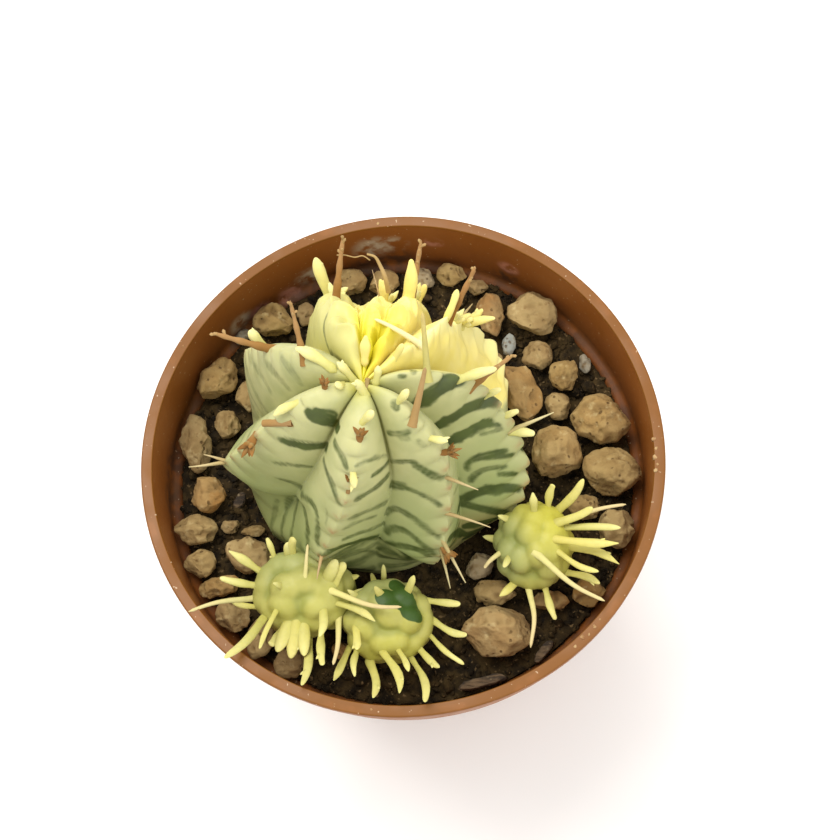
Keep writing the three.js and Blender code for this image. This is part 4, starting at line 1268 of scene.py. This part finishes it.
# %% Waxy striped skin
wax = Finish("striped skin")
wax.ground(wax.cloudy(5.0, 0.3, 0.7), (173, 175, 121), (189, 188, 134))
wax.coat("low_green", (146, 157, 98))
wax.coat("shaded", (156, 162, 104))
# Painted shade low on the east flanks
wax.coat("olive", (152, 148, 90))
wax.coat("pale", (178, 176, 126), 0.5)
wax.coat("cream", (200, 195, 122))
gold_mask = wax.painted("gold")
wax.coat(gold_mask, wax.blend(wax.cloudy(4.0, 0.3, 0.7), (230, 214, 116), (234, 220, 136)))
wax.coat(wax.times(gold_mask, wax.painted("pale")), (234, 228, 162), 0.7)
wax.coat("deep_gold", (218, 208, 36))
broken = wax.math("MULTIPLY_ADD", wax.noise(900.0, 3.0), 0.30, -0.15)
ink = wax.squeeze(wax.math("ADD", wax.painted("band"), broken), 0.06, 0.84)
ink = wax.times(ink, wax.math("SUBTRACT", 1.0, gold_mask))
wax.coat(ink, wax.blend(wax.cloudy(3.0, 0.3, 0.7), (52, 66, 22), (70, 84, 32)), 0.95)
# Painted shade in the grooves
thin_line = wax.squeeze(wax.painted("groove"), 0.90, 0.985)
wax.coat(wax.times(thin_line, wax.painted("crease")), (92, 92, 20), 0.85)
brown = wax.times(wax.painted("scar"), wax.cloudy(1.2, 0.3, 0.6))
wax.coat(brown, (160, 118, 78), 0.75)
gloss = wax.squeeze(wax.cloudy(3.0, 0.3, 0.7), 0, 1, 0.46, 0.62)
skin_finish = wax.close(gloss, 0.35, glow=0.10, relief=(wax.noise(2600.0, 3.0), 0.18, 0.06))
hand_over(body, "plant", "plant", coat=skin_finish)
print("skin finish nodes:", len(wax.tree.nodes))

# %% [markdown]
# ## Leaves, stalks and spines
# Everything that sprouts from the plant is thin and follows a line. So each kind is drawn as
# a wire of edges, with a thickness written at every point, and one Geometry Nodes tree
# gives the wire its flesh: it sweeps an oval along each line and closes both ends.

# %% A tree that puts flesh on a wire
fleshing = Tree("flesh on a wire", sides=10, flatness=0.7)
given = fleshing.given
wires = fleshing.add("MeshToCurve", {0: given["Geometry"]})
level_up = fleshing.add("SetCurveNormal", {0: wires}, mode="Z_UP")
thick = fleshing.add("InputNamedAttribute", {0: "thick"}, data_type="FLOAT")
sized = fleshing.add("SetCurveRadius", {0: level_up, "Radius": thick})
oval = fleshing.add("CurvePrimitiveCircle", {"Resolution": given["sides"], "Radius": 1.0})
scale = fleshing.add("ShaderNodeCombineXYZ", {0: 1.0, 1: given["flatness"], 2: 1.0})
flatten = fleshing.add("Transform", {0: oval, "Scale": scale})
sweep = {"Curve": sized, "Profile Curve": flatten, "Scale": thick, "Fill Caps": True}
swept = fleshing.add("CurveToMesh", sweep)
fleshing.close(fleshing.add("SetShadeSmooth", {0: swept}))


# %% Drawing the wires
def toward(heading, rise):
    flat = math.cos(math.radians(rise))
    turn = math.radians(heading)
    return np.array([flat * math.cos(turn), flat * math.sin(turn), math.sin(math.radians(rise))])


class Wires:
    """Lines with a thickness, a place along and a tone at every point."""

    def __init__(self):
        self.points, self.edges, self.thick, self.along, self.tone = [], [], [], [], []

    def draw(self, line, radii, tone):
        first = len(self.points)
        self.points += [tuple(p) for p in line]
        self.edges += [(first + i, first + i + 1) for i in range(len(line) - 1)]
        self.thick += list(radii)
        self.along += list(np.linspace(0, 1, len(line)))
        self.tone += [tone] * len(line)

    def flesh(self, name, sides, flatness, coat):
        piece = make_piece(
            name, self.points, [], self.edges,
            thick=np.array(self.thick) * MM, along=self.along, tone=self.tone,
        )
        fleshing.grow(piece, sides=sides, flatness=flatness, finish=coat)
        weld(piece.data)
        piece.data.shade_smooth()
        return piece


print("a line that rises by 30 degrees:", toward(0, 30).round(2))

# %% [markdown]
# A leaf is drawn with more points near its root and tip, where its width changes fast. Its
# line starts inside the parent, so that no gap shows, and bends, hooks and bows a little.

# %% Shapes of leaves and stalks
LEAF_STATIONS = np.array([
    0, 0.04, 0.09, 0.16, 0.25, 0.35, 0.46, 0.57, 0.67, 0.76, 0.84, 0.9, 0.945, 0.975, 0.993, 1
])
STALK_STATIONS = np.linspace(0, 1, 19)


def leaf_taper(s, dice):
    """Half-width of a small succulent leaf: a broad root, a waist, a strap, a soft tip."""
    waist, round_off = dice.uniform(0.5, 0.8), dice.uniform(0.06, 0.24)
    strap = mix(waist, 1.0, ease(s, 0.08, dice.uniform(0.4, 0.7)))
    strap *= mix(1.0, dice.uniform(0.25, 0.85), ease(s, 0.6, 1.0))
    strap *= 1 + 0.09 * np.sin(dice.uniform(7, 12) * s + dice.uniform(0, 6))
    root = 0.25 * np.exp(-(((s - 0.12) / 0.1) ** 2))
    past = np.clip((s - 1 + round_off) / (round_off + 0.002), 0, 1)
    return (strap + root) * np.sqrt(1 - past**2) * np.sqrt(np.clip(s / 0.07, 0.05, 1))


def stalk_taper(s):
    root = 0.35 * np.exp(-((s / 0.08) ** 2))
    tip = np.sqrt(np.clip(1 - np.clip((s - 0.95) / 0.052, 0, 1) ** 2, 0.0, 1))
    return (1 - 0.55 * s + root) * tip


def bent_line(root, heading, rise, long, droop, stations, curl=0.0, sink=1.3, sway=0.0):
    """A line from inside its parent that bends, hooks by `curl` and bows by `sway`."""
    lead = toward(heading, rise)
    end = toward(heading, rise - droop)
    start = root - lead * sink
    middle = root + lead * long * 0.5
    tip = middle + end * long * 0.5
    s = stations[:, None]
    line = bend(start, middle, tip, s)
    across = np.cross(lead, [0, 0, 1.0])
    across /= np.linalg.norm(across) + 1e-9
    up_way = np.cross(across, lead)
    hook = np.clip((s - 0.5) / 0.5, 0, 1) ** 2
    bow = s * np.sin(4.2 * s)
    return line + up_way * curl * hook + across * sway * bow, across


def draw_leaf(wires, dice, line, across, wide, tone):
    """A strap-shaped leaf, at times with a small tooth beside its tip."""
    wires.draw(line, wide / 2 * leaf_taper(LEAF_STATIONS, dice), tone)
    if dice.uniform() < 0.35 and wide > 1.2:
        way = unit(line[-1] - line[-6])
        side = across * dice.choice((-1, 1)) * dice.uniform(0.5, 0.9)
        reach = np.linspace(0, 1, 6)[:, None]
        tooth = line[-8] + reach * (way * dice.uniform(0.9, 1.6) + side)
        wires.draw(tooth, wide * np.array([0.30, 0.29, 0.26, 0.21, 0.14, 0.03]), tone)


def draw_tuft(wires, dice, root, heading, rise, long, wide):
    """A few scale-like leaves from one point."""
    for _ in range(5):
        turn, lift = heading + dice.uniform(-60, 60), rise + dice.uniform(-30, 30)
        reach, curl = long * dice.uniform(0.6, 1.1), dice.uniform(-0.3, 0.3)
        line, across = bent_line(root, turn, lift, reach, 0, LEAF_STATIONS, curl)
        draw_leaf(wires, dice, line, across, wide * dice.uniform(0.7, 1.1), dice.uniform(0, 0.6))


print("points along a leaf and a stalk:", len(LEAF_STATIONS), len(STALK_STATIONS))

# %% [markdown]
# The finishes of the thin pieces share one recipe: a root colour that runs into a tip colour,
# with the tone of each piece pushing it toward a third colour, and a fine noise for
# unevenness. Live leaves let a little light through, dry wood and spines don't.


# %% Leaf, wood and spine finishes
def thin_finish(name, root, tip, other, roughness, glow, tip_from=0.35):
    """Runs from the root colour to the tip colour, and to the other one with the tone."""
    look = Finish(name)
    look.ground(look.squeeze(look.painted("along"), tip_from * 0.4, tip_from + 0.4), root, tip)
    look.coat("tone", other)
    darker = look.add("HueSaturation", {"Color": look.colour, "Value": 0.82}).outputs[0]
    look.coat(look.cloudy(1.0, 0.4, 0.75), darker, 0.45)
    relief = (look.noise(2400.0, 3.0), 0.3, 0.1)
    return look.close(roughness, 0.3 if glow else 0.15, glow, relief=relief)


# Colours of the root, the tip and a full tone, the roughness, the glow, where the tip begins
THIN = {
    "young leaf": ((186, 184, 108), (220, 214, 150), (232, 212, 118), 0.5, 0.15),
    "dry flower stalk": ((140, 96, 40), (158, 118, 74), (176, 152, 104), 0.75, 0),
    "old spine": ((170, 156, 104), (198, 186, 140), (168, 124, 84), 0.7, 0),
    "dried flower cup": ((158, 130, 82), (148, 106, 56), (112, 74, 30), 0.75, 0),
    "fresh flower stalk": ((180, 172, 100), (190, 172, 104), (232, 218, 164), 0.55, 0.1, 0.6),
    "dried leaf": ((204, 196, 124), (206, 186, 138), (196, 190, 130), 0.65, 0),
    "offset leaf": ((172, 168, 90), (208, 202, 132), (206, 192, 90), 0.5, 0.15),
}
thin = {name: thin_finish(name, *recipe) for name, recipe in THIN.items()}
print("thin finishes:", len(thin))

# %% [markdown]
# Each outgrowth has a kind, the rib it grows on and how far out along the crest, in mm. Then
# come its compass heading and rise in degrees, its length and width in mm, and its droop in
# degrees. A tuft is a few scale-like leaves, a cup a dried flower, a stub a broken stalk.

# %% What grows on the plant
ON_THE_PLANT = [
    ("leaf", "south", 2.0, 127, 43, 2.6, 1.5, 0),
    ("leaf", "east", 2.2, 73, 45, 2.2, 1.2, 0),
    ("leaf", "far_west", 1.6, 136, 37, 3.3, 1.5, 0),
    ("leaf", "north_b", 2.5, 85, 35, 3.5, 1.6, 0),
    ("leaf", "north_east", 6.0, 46, 47, 2.8, 1.2, 0),
    ("leaf", "south_east", 6.7, 35, 47, 2.7, 1.3, 0),
    ("tan", "south_east", 9.7, 71, 44, 8.6, 1.3, 0),
    ("green", "east", 9.8, 94, 39, 9.6, 1.2, 0),
    ("leaf", "south", 6.8, 29, 46, 2.8, 1.4, 0),
    ("cup", "south", 9.3, 74, 54, 2.2, 1.3, 0),
    ("leaf", "south", 13.1, 276, 0, 2.6, 1.3, 25),
    ("cup", "south", 15.1, 70, 53, 3.1, 1.1, 0),
    ("leaf", "south_east", 12.8, 340, 29, 3.1, 1.3, 20),
    ("cup", "south_east", 14.9, 358, 25, 3.6, 1.2, 0),
    ("leaf", "north_west", 21.3, 114, 35, 6.9, 2.0, 0),
    ("stalk", "north_west", 16.9, 79, 40, 9.8, 1.3, 0),
    ("leaf", "north_west", 23.0, 30, 47, 2.8, 1.1, 0),
    ("leaf", "north_b", 18.5, 100, 33, 4.0, 1.0, 0),
    ("thread", "north_b", 17.0, 105, 55, 6.5, 0.8, 75),
    ("leaf", "north_b", 17.5, 83, 36, 3.6, 1.7, 0),
    ("leaf", "north_a", 17.6, 79, 43, 6.4, 2.1, 0),
    ("stalk", "north_a", 19.1, 76, 40, 9.6, 1.3, 0),
    ("leaf", "north_a", 22.0, 60, 40, 3.0, 1.2, 0),
    ("leaf", "north_east", 17.7, 62, 30, 5.5, 1.2, 0),
    ("leaf", "north_east", 22.5, 40, 36, 4.0, 1.7, 0),
    ("stalk", "north_east", 18.6, 55, 38, 10.0, 1.4, 0),
    ("spine", "north_east", 20.5, 38, 35, 4.2, 0.8, 0),
    ("leaf", "north_east", 22.0, 8, 26, 5.2, 1.6, 20),
    ("cream", "north_east", 10.2, 151, 22, 7.5, 1.1, 30),
    ("stalk", "far_west", 17.2, 173, 26, 9.1, 1.4, 0),
    ("leaf", "far_west", 17.7, 144, 46, 4.2, 1.7, 0),
    ("stalk", "far_west", 9.5, 103, 38, 8.9, 1.1, 0),
    ("leaf", "far_west", 5.0, 148, 14, 6.0, 1.9, 20),
    ("cup", "west", 5.5, 82, 60, 2.2, 1.1, 0),
    ("leaf", "west", 3.0, 225, 55, 1.8, 1.4, 0),
    ("leaf", "west", 10.3, 202, 5, 4.0, 1.4, 35),
    ("stub", "west", 14.9, 350, 30, 4.4, 1.3, 0),
    ("cup", "west", 18.0, 250, 20, 3.6, 1.7, 0),
    ("spine", "west", 24.2, 189, 0, 6.0, 0.9, 0),
    ("spine", "west", 24.0, 157, -20, 4.8, 0.8, 0),
    ("leaf", "east", 14.5, 14, 14, 5.8, 1.6, 10),
    ("stalk", "east", 16.7, 29, 30, 7.9, 1.2, 0),
    ("leaf", "east", 21.4, 15, 29, 2.4, 1.1, 0),
    ("spine", "east", 22.6, 22, 4, 7.0, 1.0, 0),
    ("spine", "south_east", 17.5, 334, 11, 5.2, 0.8, 0),
    ("spine", "south_east", 20.2, 340, 8, 7.0, 0.8, 0),
    ("spine", "south_east", 22.3, 300, -22, 7.4, 0.9, 0),
    ("spine", "south", 22.4, 257, -5, 4.0, 0.8, 30),
    ("cup", "south_east", 22.6, 306, -8, 3.2, 1.5, 0),
    ("spine", "south_east", 22.9, 284, -30, 6.4, 0.8, 0),
    ("spine", "south_east", 23.2, 262, -35, 4.2, 0.8, 0),
    ("leaf", "east", 22.8, 352, 8, 3.4, 1.6, 0),
    ("leaf", "east", 18.8, 20, 22, 2.2, 1.2, 0),
    ("tuft", "north_west", 20.5, 55, 35, 3.0, 1.2, 0),
    ("tuft", "north_b", 19.5, 95, 35, 2.8, 1.1, 0),
    ("tuft", "north_a", 20.5, 62, 38, 2.8, 1.2, 0),
    ("tuft", "north_east", 20.2, 55, 38, 2.6, 1.1, 0),
    ("tuft", "north_east", 21.6, 40, 36, 2.2, 1.0, 0),
]
# A dried thread between two stalks and a bare twig: points (x, y, height above the rim)
THREAD = [
    (-9.3, 26.8, 19.0), (-8.0, 26.6, 19.4), (-6.5, 26.4, 19.0), (-5.3, 26.8, 18.6),
    (-4.2, 26.3, 18.0),
]
BARE_TWIG = [
    (-4.6, 26.9, 19.0), (-3.4, 26.6, 18.6), (-2.6, 25.5, 17.6), (-1.9, 24.0, 16.6),
    (-1.5, 22.6, 14.0),
]
print("outgrowths:", len(ON_THE_PLANT))


# %% Dry flower stalks and cups
def draw_twig(wires, dice, root, heading, rise, long, wide, droop):
    """A woody stalk with a swollen foot, old scars, and stubs of branches at its tip."""
    curl = dice.uniform(-0.6, 0.6)
    line, across = bent_line(root, heading, rise, long, droop, STALK_STATIONS, curl)
    knobs = 1 + 0.16 * np.sin(STALK_STATIONS * 23 + dice.uniform(0, 6)) * (STALK_STATIONS > 0.2)
    radii = wide / 2 * 1.12 * stalk_taper(STALK_STATIONS) * knobs * (1 - 0.2 * STALK_STATIONS)
    wires.draw(line, radii, dice.uniform(0, 0.25))
    for at in (0.97, 0.9, 0.82, 0.74, 0.66):
        here = line[int(at * (len(line) - 1))]
        turn = dice.uniform(-75, 75)
        way = toward(heading + turn, rise + dice.uniform(-30, 40))
        reach = dice.uniform(0.5, 1.25)
        twig = here + np.linspace(-0.2, reach, 6)[:, None] * way
        wires.draw(twig, wide * np.array([0.2, 0.18, 0.15, 0.17, 0.21, 0.05]), 0.55)


def draw_cup(wires, dice, root, heading, rise, long, wide):
    """A dried flower cup: a stub with six pointed bracts spread round its mouth."""
    way = toward(heading, rise)
    neck = root + way * long * 0.45
    stub = root + np.linspace(-1.0, long * 0.5, 8)[:, None] * way
    wires.draw(stub, wide * np.array([0.3, 0.3, 0.32, 0.36, 0.42, 0.46, 0.44, 0.2]), 0.3)
    side = unit(np.cross(way, [0, 0, 1.0]))
    other = np.cross(side, way)
    for k in range(6):
        turn = math.radians(60 * k + dice.uniform(-14, 14))
        spread = side * math.cos(turn) + other * math.sin(turn)
        lean = way * dice.uniform(0.7, 1.1) + spread * dice.uniform(0.2, 0.6)
        s = np.linspace(0, 1, 7)[:, None]
        reach = long * dice.uniform(0.3, 0.55)
        line = neck + spread * wide * 0.25 + lean * reach * s + spread * 0.25 * s * s
        width = wide * np.array([0.24, 0.26, 0.26, 0.24, 0.19, 0.12, 0.03])
        wires.draw(line, width, dice.uniform(0, 0.8))


trial = Wires()
draw_cup(trial, np.random.default_rng(1), np.zeros(3), 0, 30, 3.0, 1.4)
print("a dried cup takes", len(trial.points), "wire points")

# %% Sprout everything on the body
leaves, twigs, spines, cups, greens = (Wires() for _ in range(5))
dice = np.random.default_rng(5)
# How golden the leaves of these ribs are
GOLDEN = {"north_a": 0.75, "north_b": 0.75, "north_east": 0.55, "north_west": 0.35}
for kind, rib, out, heading, rise, long, wide, droop in ON_THE_PLANT:
    root = crest_point(rib, out) + RAISED.get(rib, 0) * toward(heading, 50)
    curl = dice.uniform(-0.5, 0.7) * long / 6
    sway = dice.uniform(-0.06, 0.06) * long
    way = (root, heading, rise, long, droop)
    stalk = wide / 2 * stalk_taper(STALK_STATIONS)
    if kind == "leaf":
        line, across = bent_line(*way, LEAF_STATIONS, curl, sway=sway)
        draw_leaf(leaves, dice, line, across, wide, GOLDEN.get(rib, 0.1))
    elif kind == "tuft":
        draw_tuft(leaves, dice, root, heading, rise, long, wide)
    elif kind == "stalk":
        draw_twig(twigs, dice, root, heading, rise, long, wide, droop)
    elif kind == "cup":
        draw_cup(cups, dice, root, heading, rise, long, wide)
    elif kind == "stub":
        line, _ = bent_line(*way, STALK_STATIONS)
        twigs.draw(line, wide / 2 * (0.9 + 0.2 * STALK_STATIONS), 0.35)
        cups.draw(line[-4:], np.full(4, wide * 0.58), 0.9)
    elif kind == "tan":
        twigs.draw(bent_line(*way, STALK_STATIONS, curl)[0], stalk, 0.55)
    elif kind in ("green", "cream"):
        greens.draw(bent_line(*way, STALK_STATIONS, curl)[0], stalk, 0.9 * (kind == "cream"))
    else:
        line, _ = bent_line(*way, STALK_STATIONS, curl, 1.0)
        radii = wide / 2 * (1 - 0.82 * STALK_STATIONS) * (0.95 if kind == "spine" else 0.5)
        spines.draw(line, radii, dice.uniform(0, 0.6))
for path, radius in ((THREAD, (0.10, 0.10)), (BARE_TWIG, (0.16, 0.42))):
    line = through(path, STALK_STATIONS) + np.array([0, 0, RIM_Z])
    twigs.draw(line, np.linspace(*radius, len(line)), 0.8)
for made in (
    leaves.flesh("plant_leaves", 14, 0.68, thin["young leaf"]),
    twigs.flesh("plant_flower_stalks", 10, 0.85, thin["dry flower stalk"]),
    spines.flesh("plant_spines", 7, 1.0, thin["old spine"]),
    cups.flesh("plant_dried_cups", 9, 0.6, thin["dried flower cup"]),
    greens.flesh("plant_fresh_stalks", 10, 0.9, thin["fresh flower stalk"]),
):
    hand_over(made, "plant", "plant")
    print(made.name, count(made))

# %% [markdown]
# ## The offsets
# A young head is a ball of swollen leaf bases packed edge to edge, with finger-like leaves
# that point outward. The swellings are found by distance: each point of the ball stands out
# most where it is nearest to a base, and sinks in a crease where two bases meet.

# %% Offsets and their leaves
# Centre (height from the rim) and size in mm, how golden it is, and its leaves: compass angle
# and lift of the root, heading and rise in degrees, length and width in mm, droop in degrees
OFFSETS = {
    "offset_west": {
        "centre": (-15.8, -21.0, -6.6), "size": (8.0, 7.1, 6.7), "tone": 0.25,
        "fingers": [
            (155, 20, 147, 10, 5.8, 1.9, 0), (175, 20, 171, 10, 5.6, 1.7, 0),
            (190, 10, 198, 38, 11.1, 1.1, 0), (200, 10, 176, 28, 4.3, 1.4, 0),
            (220, 20, 244, 42, 13, 2, 0), (230, 45, 252, 24, 8.4, 1.2, 0),
            (245, 15, 245, 23, 3.5, 1.9, 0), (265, 15, 290, 25, 3.2, 1.7, 0),
            (275, 0, 273, 38, 12.3, 1.8, 0), (305, 45, 271, 19, 4.7, 1.8, 0),
            (292, 20, 274, 25, 7.6, 1.7, 0), (315, 20, 271, 30, 9.7, 1.1, 0),
            (5, 50, 64, 26, 3.5, 1.9, 0), (345, 52, 339, 14, 12.2, 1.1, 0),
            (330, 40, 334, 19, 8.1, 1.5, 0), (105, 45, 85, 50, 3.2, 1.8, 0),
            (130, 30, 110, 30, 3.2, 1.2, 0), (60, 80, 84, 28, 4.8, 0.8, 0),
        ],
    },
    "offset_south": {
        "centre": (-2.4, -25.7, -7.0), "size": (7.1, 6.6, 6.3), "tone": 0.35,
        "fingers": [
            (25, 15, 350, 13, 5.4, 1.5, 0), (358, 10, 327, 21, 6.6, 1.5, 15),
            (338, 8, 313, 23, 7.6, 1.2, 0), (315, 12, 310, 28, 6.1, 1.6, 0),
            (300, 8, 293, 41, 12.9, 1.6, 0), (265, 35, 298, 36, 11.5, 1.7, 0),
            (288, 35, 298, 39, 5.8, 1.3, 0), (248, 5, 285, 42, 11, 1.8, 0),
            (230, 15, 264, 34, 5.1, 1.4, 0), (218, 5, 257, 47, 12.4, 1.5, 0),
            (210, 45, 276, 23, 4, 1.7, 0), (50, 45, 60, 45, 3.2, 1.6, 0),
        ],
    },
    "offset_east": {
        "centre": (21.2, -13.5, -6.1), "size": (6.3, 6.9, 6.2), "tone": 0.6,
        "fingers": [
            (65, 35, 80, 39, 3.9, 1.7, 0), (50, 25, 41, 31, 6.7, 2, 0),
            (30, 50, 15, 18, 6.2, 1.8, 0), (32, 22, 13, 15, 9.7, 1, 0),
            (18, 40, 356, 16, 9.0, 1.7, 0), (352, 60, 350, 13, 10.2, 1.9, 0),
            (350, 30, 340, 17, 8.4, 1.9, 0), (330, 50, 324, 10, 7.4, 1.3, 0),
            (320, 5, 337, 22, 6.8, 1.6, -25), (285, 62, 318, 11, 12.8, 1.14, 0),
            (285, 0, 284, 15, 5.7, 1.6, 20), (262, 0, 275, 22, 10.1, 1.1, 0),
            (240, 0, 226, 21, 3.2, 1.8, 20), (200, 30, 224, 16, 4.1, 1, 0),
            (90, 55, 95, 50, 3.2, 1.6, 0),
        ],
    },
}
# Blunt young leaves near the crowns: turn, lift, heading, rise, length, width and tone
BUDS = {
    "offset_west": [
        (110, 43, 95, 48, 2.2, 1.8, 0), (15, 58, 60, 32, 3.4, 2.1, 0),
        (252, 28, 250, 4, 4.8, 2.3, 0.2), (262, 28, 262, -4, 5.2, 2.4, 0.3),
        (272, 28, 273, 4, 4.9, 2.1, 0.2), (350, 20, 15, 18, 3.4, 1.5, 0),
    ],
    "offset_south": [(95, 13, 88, 55, 3.6, 0.9, 0)],
    "offset_east": [(215, 40, 245, 25, 2.2, 1.1, 0)],
}
for name, plan in OFFSETS.items():
    print(name, "leaves:", len(plan["fingers"]), "and blunt ones:", len(BUDS[name]))

# %% Swollen leaf bases
# How far a leaf's base spreads, how close bases stand, and how much they stand out
BUD_REACH = math.radians(25)
BUD_SPACING = math.radians(26)
BUD_SWELL = 0.19


def base_directions(fingers):
    """The leaves' own bases, then others on a spiral wherever there is room."""
    found = [toward(turn, lift) for turn, lift, *_ in fingers]
    golden_turn = 137.508
    for k in range(90):
        lift = math.degrees(math.asin(1 - 1.5 * (k + 0.5) / 90))
        way = toward(golden_turn * k, lift)
        if min(math.acos(min(1, float(way @ other))) for other in found) > BUD_SPACING:
            found.append(way)
    return np.array(found)


def head_points(ways, plan, bases):
    """Points of the ball along directions, with the swollen bases raised."""
    angles = np.arccos(np.clip(ways @ bases.T, -1, 1))
    inside = 1 - (angles / BUD_REACH) ** 2
    swell = np.log(np.exp(7 * np.clip(inside, -1.5, 1)).sum(1)) / 7
    swell = np.clip(swell, -0.2, 1.1)
    out = ways * np.array(plan["size"]) * (1 + BUD_SWELL * (swell - 0.62))[:, None]
    return out + np.array(plan["centre"]) + np.array([0, 0, RIM_Z]), swell


print("bases of the west head:", len(base_directions(OFFSETS["offset_west"]["fingers"])))

# %% [markdown]
# The heads are paler and yellower than the old body, with a faint green painted shade in the
# creases. The middle offset has one sector of deep leaf green, the only fully green tissue on
# the plant.

# %% Young skin
young = Finish("young skin")
young.ground(young.cloudy(3.0, 0.3, 0.7), (146, 145, 80), (163, 161, 97))
young.coat("gold", (196, 188, 40))
young.coat("shady", (150, 154, 92))
# Painted shade in the creases between the swollen bases
young.coat("crease", (120, 128, 56))
ragged = young.math("MULTIPLY_ADD", young.noise(500.0, 3.0), 0.5, -0.25)
leafy = young.squeeze(young.math("ADD", young.painted("green"), ragged), 0.4, 0.6)
young.coat(leafy, (52, 78, 24))
relief = (young.noise(2000.0, 3.0), 0.3, 0.1)
young_finish = young.close(0.5, 0.35, glow=0.15, glow_depth=1.2, relief=relief)
print("young skin nodes:", len(young.tree.nodes))

# %% The ball of a head
HEAD_SIDES, HEAD_RINGS = 120, 76
# The green sector: compass angle, lift and reach in degrees
GREEN_SECTOR = {
    "offset_south": [(45, 60, 19), (85, 68, 15), (12, 54, 18), (2, 46, 13), (70, 40, 13)],
}
# Compass angle and lift of each head's duller side, and the angle of its golden side
SHADY_SIDE = {"offset_west": (100, 20), "offset_south": (110, 20), "offset_east": (190, 20)}
SUNNY_TURN = {"offset_west": 280, "offset_south": 280, "offset_east": 40}
turns = np.linspace(0, 360, HEAD_SIDES, endpoint=False)
lifts = np.linspace(90, -90, HEAD_RINGS + 1)[1:-1]
around = [toward(turn, lift) for lift in lifts for turn in turns]
ways = np.array([toward(90, 90), *around, toward(0, -90)])


def grow_ball(name, plan, bases):
    """The ball of one head, with its golden, green and shady sides."""
    points, swell = head_points(ways, plan, bases)
    points += ways * (0.16 * rough(points, 2.2, 81, 2))[:, None]
    green = np.zeros(len(ways))
    for turn, lift, reach in GREEN_SECTOR.get(name, []):
        away = np.degrees(np.arccos(np.clip(ways @ toward(turn, lift), -1, 1)))
        green = np.maximum(green, 1 - ease(away, 0.7 * reach, 1.25 * reach))
    sunny = np.clip(ways @ toward(SUNNY_TURN[name], 30), 0, 1)
    shady = ease(ways @ toward(*SHADY_SIDE[name]), 0.35, 0.95)
    # The creases between bases carry painted shade
    head = make_piece(
        name + "_head", points, skin_faces(HEAD_SIDES, HEAD_RINGS - 1),
        gold=plan["tone"] * mix(0.3, 1.0, sunny), green=green, shady=shady,
        crease=0.55 * (1 - ease(swell, 0.10, 0.58)),
    )
    weld(head.data)
    hand_over(head, "offset", name, coat=young_finish)
    return head


print("points on a ball:", len(ways))

# %% [markdown]
# Each head gets its ball, then its finger-like leaves. Narrow fingers have withered and are
# straw-coloured. A few small pointed leaves sit on bare bases, and blunt young leaves crowd
# the crown. All leaves of one head are drawn as wires and fleshed out in one go.

# %% Grow the three heads
NARROWEST_FRESH = 1.15  # a leaf narrower than this has withered
EXTRA_LEAVES, LOWEST_LIFT = 7, -10  # small pointed leaves on bare bases, none low down
pointed = (1 - 0.8 * LEAF_STATIONS**1.5) * np.sqrt(1 - LEAF_STATIONS**8)
plump = np.sqrt(np.sin(np.pi * np.clip(0.18 + 0.82 * LEAF_STATIONS, 0, 1)) + 0.002)
dice = np.random.default_rng(23)
for name, plan in OFFSETS.items():
    bases = base_directions(plan["fingers"])
    head = grow_ball(name, plan, bases)
    fingers, dried = Wires(), Wires()
    for turn, lift, heading, rise, long, wide, droop in plan["fingers"]:
        root, _ = head_points(toward(turn, lift)[None], plan, bases)
        curl = dice.uniform(-1.0, 1.1) * long / 6
        sway = dice.uniform(-0.1, 0.1) * long
        tone = plan["tone"] * dice.uniform(0.2, 1.0)
        fresh = wide > NARROWEST_FRESH
        stations = LEAF_STATIONS if fresh else STALK_STATIONS
        line, across = bent_line(root[0], heading, rise, long, droop, stations, curl, sway=sway)
        if fresh:
            draw_leaf(fingers, dice, line, across, wide * 0.8, tone)
        else:
            dried.draw(line, wide / 2 * stalk_taper(STALK_STATIONS), dice.uniform(0, 0.8))
    bare_bases = bases[len(plan["fingers"]):]
    for way in dice.permutation(bare_bases)[:EXTRA_LEAVES]:
        root, _ = head_points(way[None], plan, bases)
        turn, lift = math.degrees(math.atan2(way[1], way[0])), math.degrees(math.asin(way[2]))
        if lift > LOWEST_LIFT:
            line, across = bent_line(
                root[0], turn + dice.uniform(-30, 30), min(lift, 60) + dice.uniform(-20, 5),
                dice.uniform(0.8, 2.2), 0, LEAF_STATIONS, dice.uniform(-0.4, 0.4),
            )
            fingers.draw(line, dice.uniform(0.5, 0.8) * pointed, dice.uniform(0, 0.5))
    for turn, lift, heading, rise, long, wide, tone in BUDS[name]:
        root, _ = head_points(toward(turn, lift)[None], plan, bases)
        line, _ = bent_line(root[0], heading, rise, long, 12, LEAF_STATIONS, 0.12 * long)
        fingers.draw(line, wide / 2 * plump, tone)
    fresh_leaves = fingers.flesh(name + "_leaves", 14, 0.5, thin["offset leaf"])
    hand_over(fresh_leaves, "offset", name)
    if dried.points:
        dry_leaves = dried.flesh(name + "_dry_leaves", 10, 0.7, thin["dried leaf"])
        hand_over(dry_leaves, "offset", name)
    print(name, "bases:", len(bases), "triangles:", count(head) + count(fresh_leaves))

# %% [markdown]
# ## The size of the dressed part
# The boxes of the solids and of the dressed part are printed side by side.

# %% Sizes
visual_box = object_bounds()
for label, (low, high) in (("cad", cad_box), ("visual", visual_box)):
    print(label, [round(x / MM, 1) for x in low], [round(x / MM, 1) for x in high])
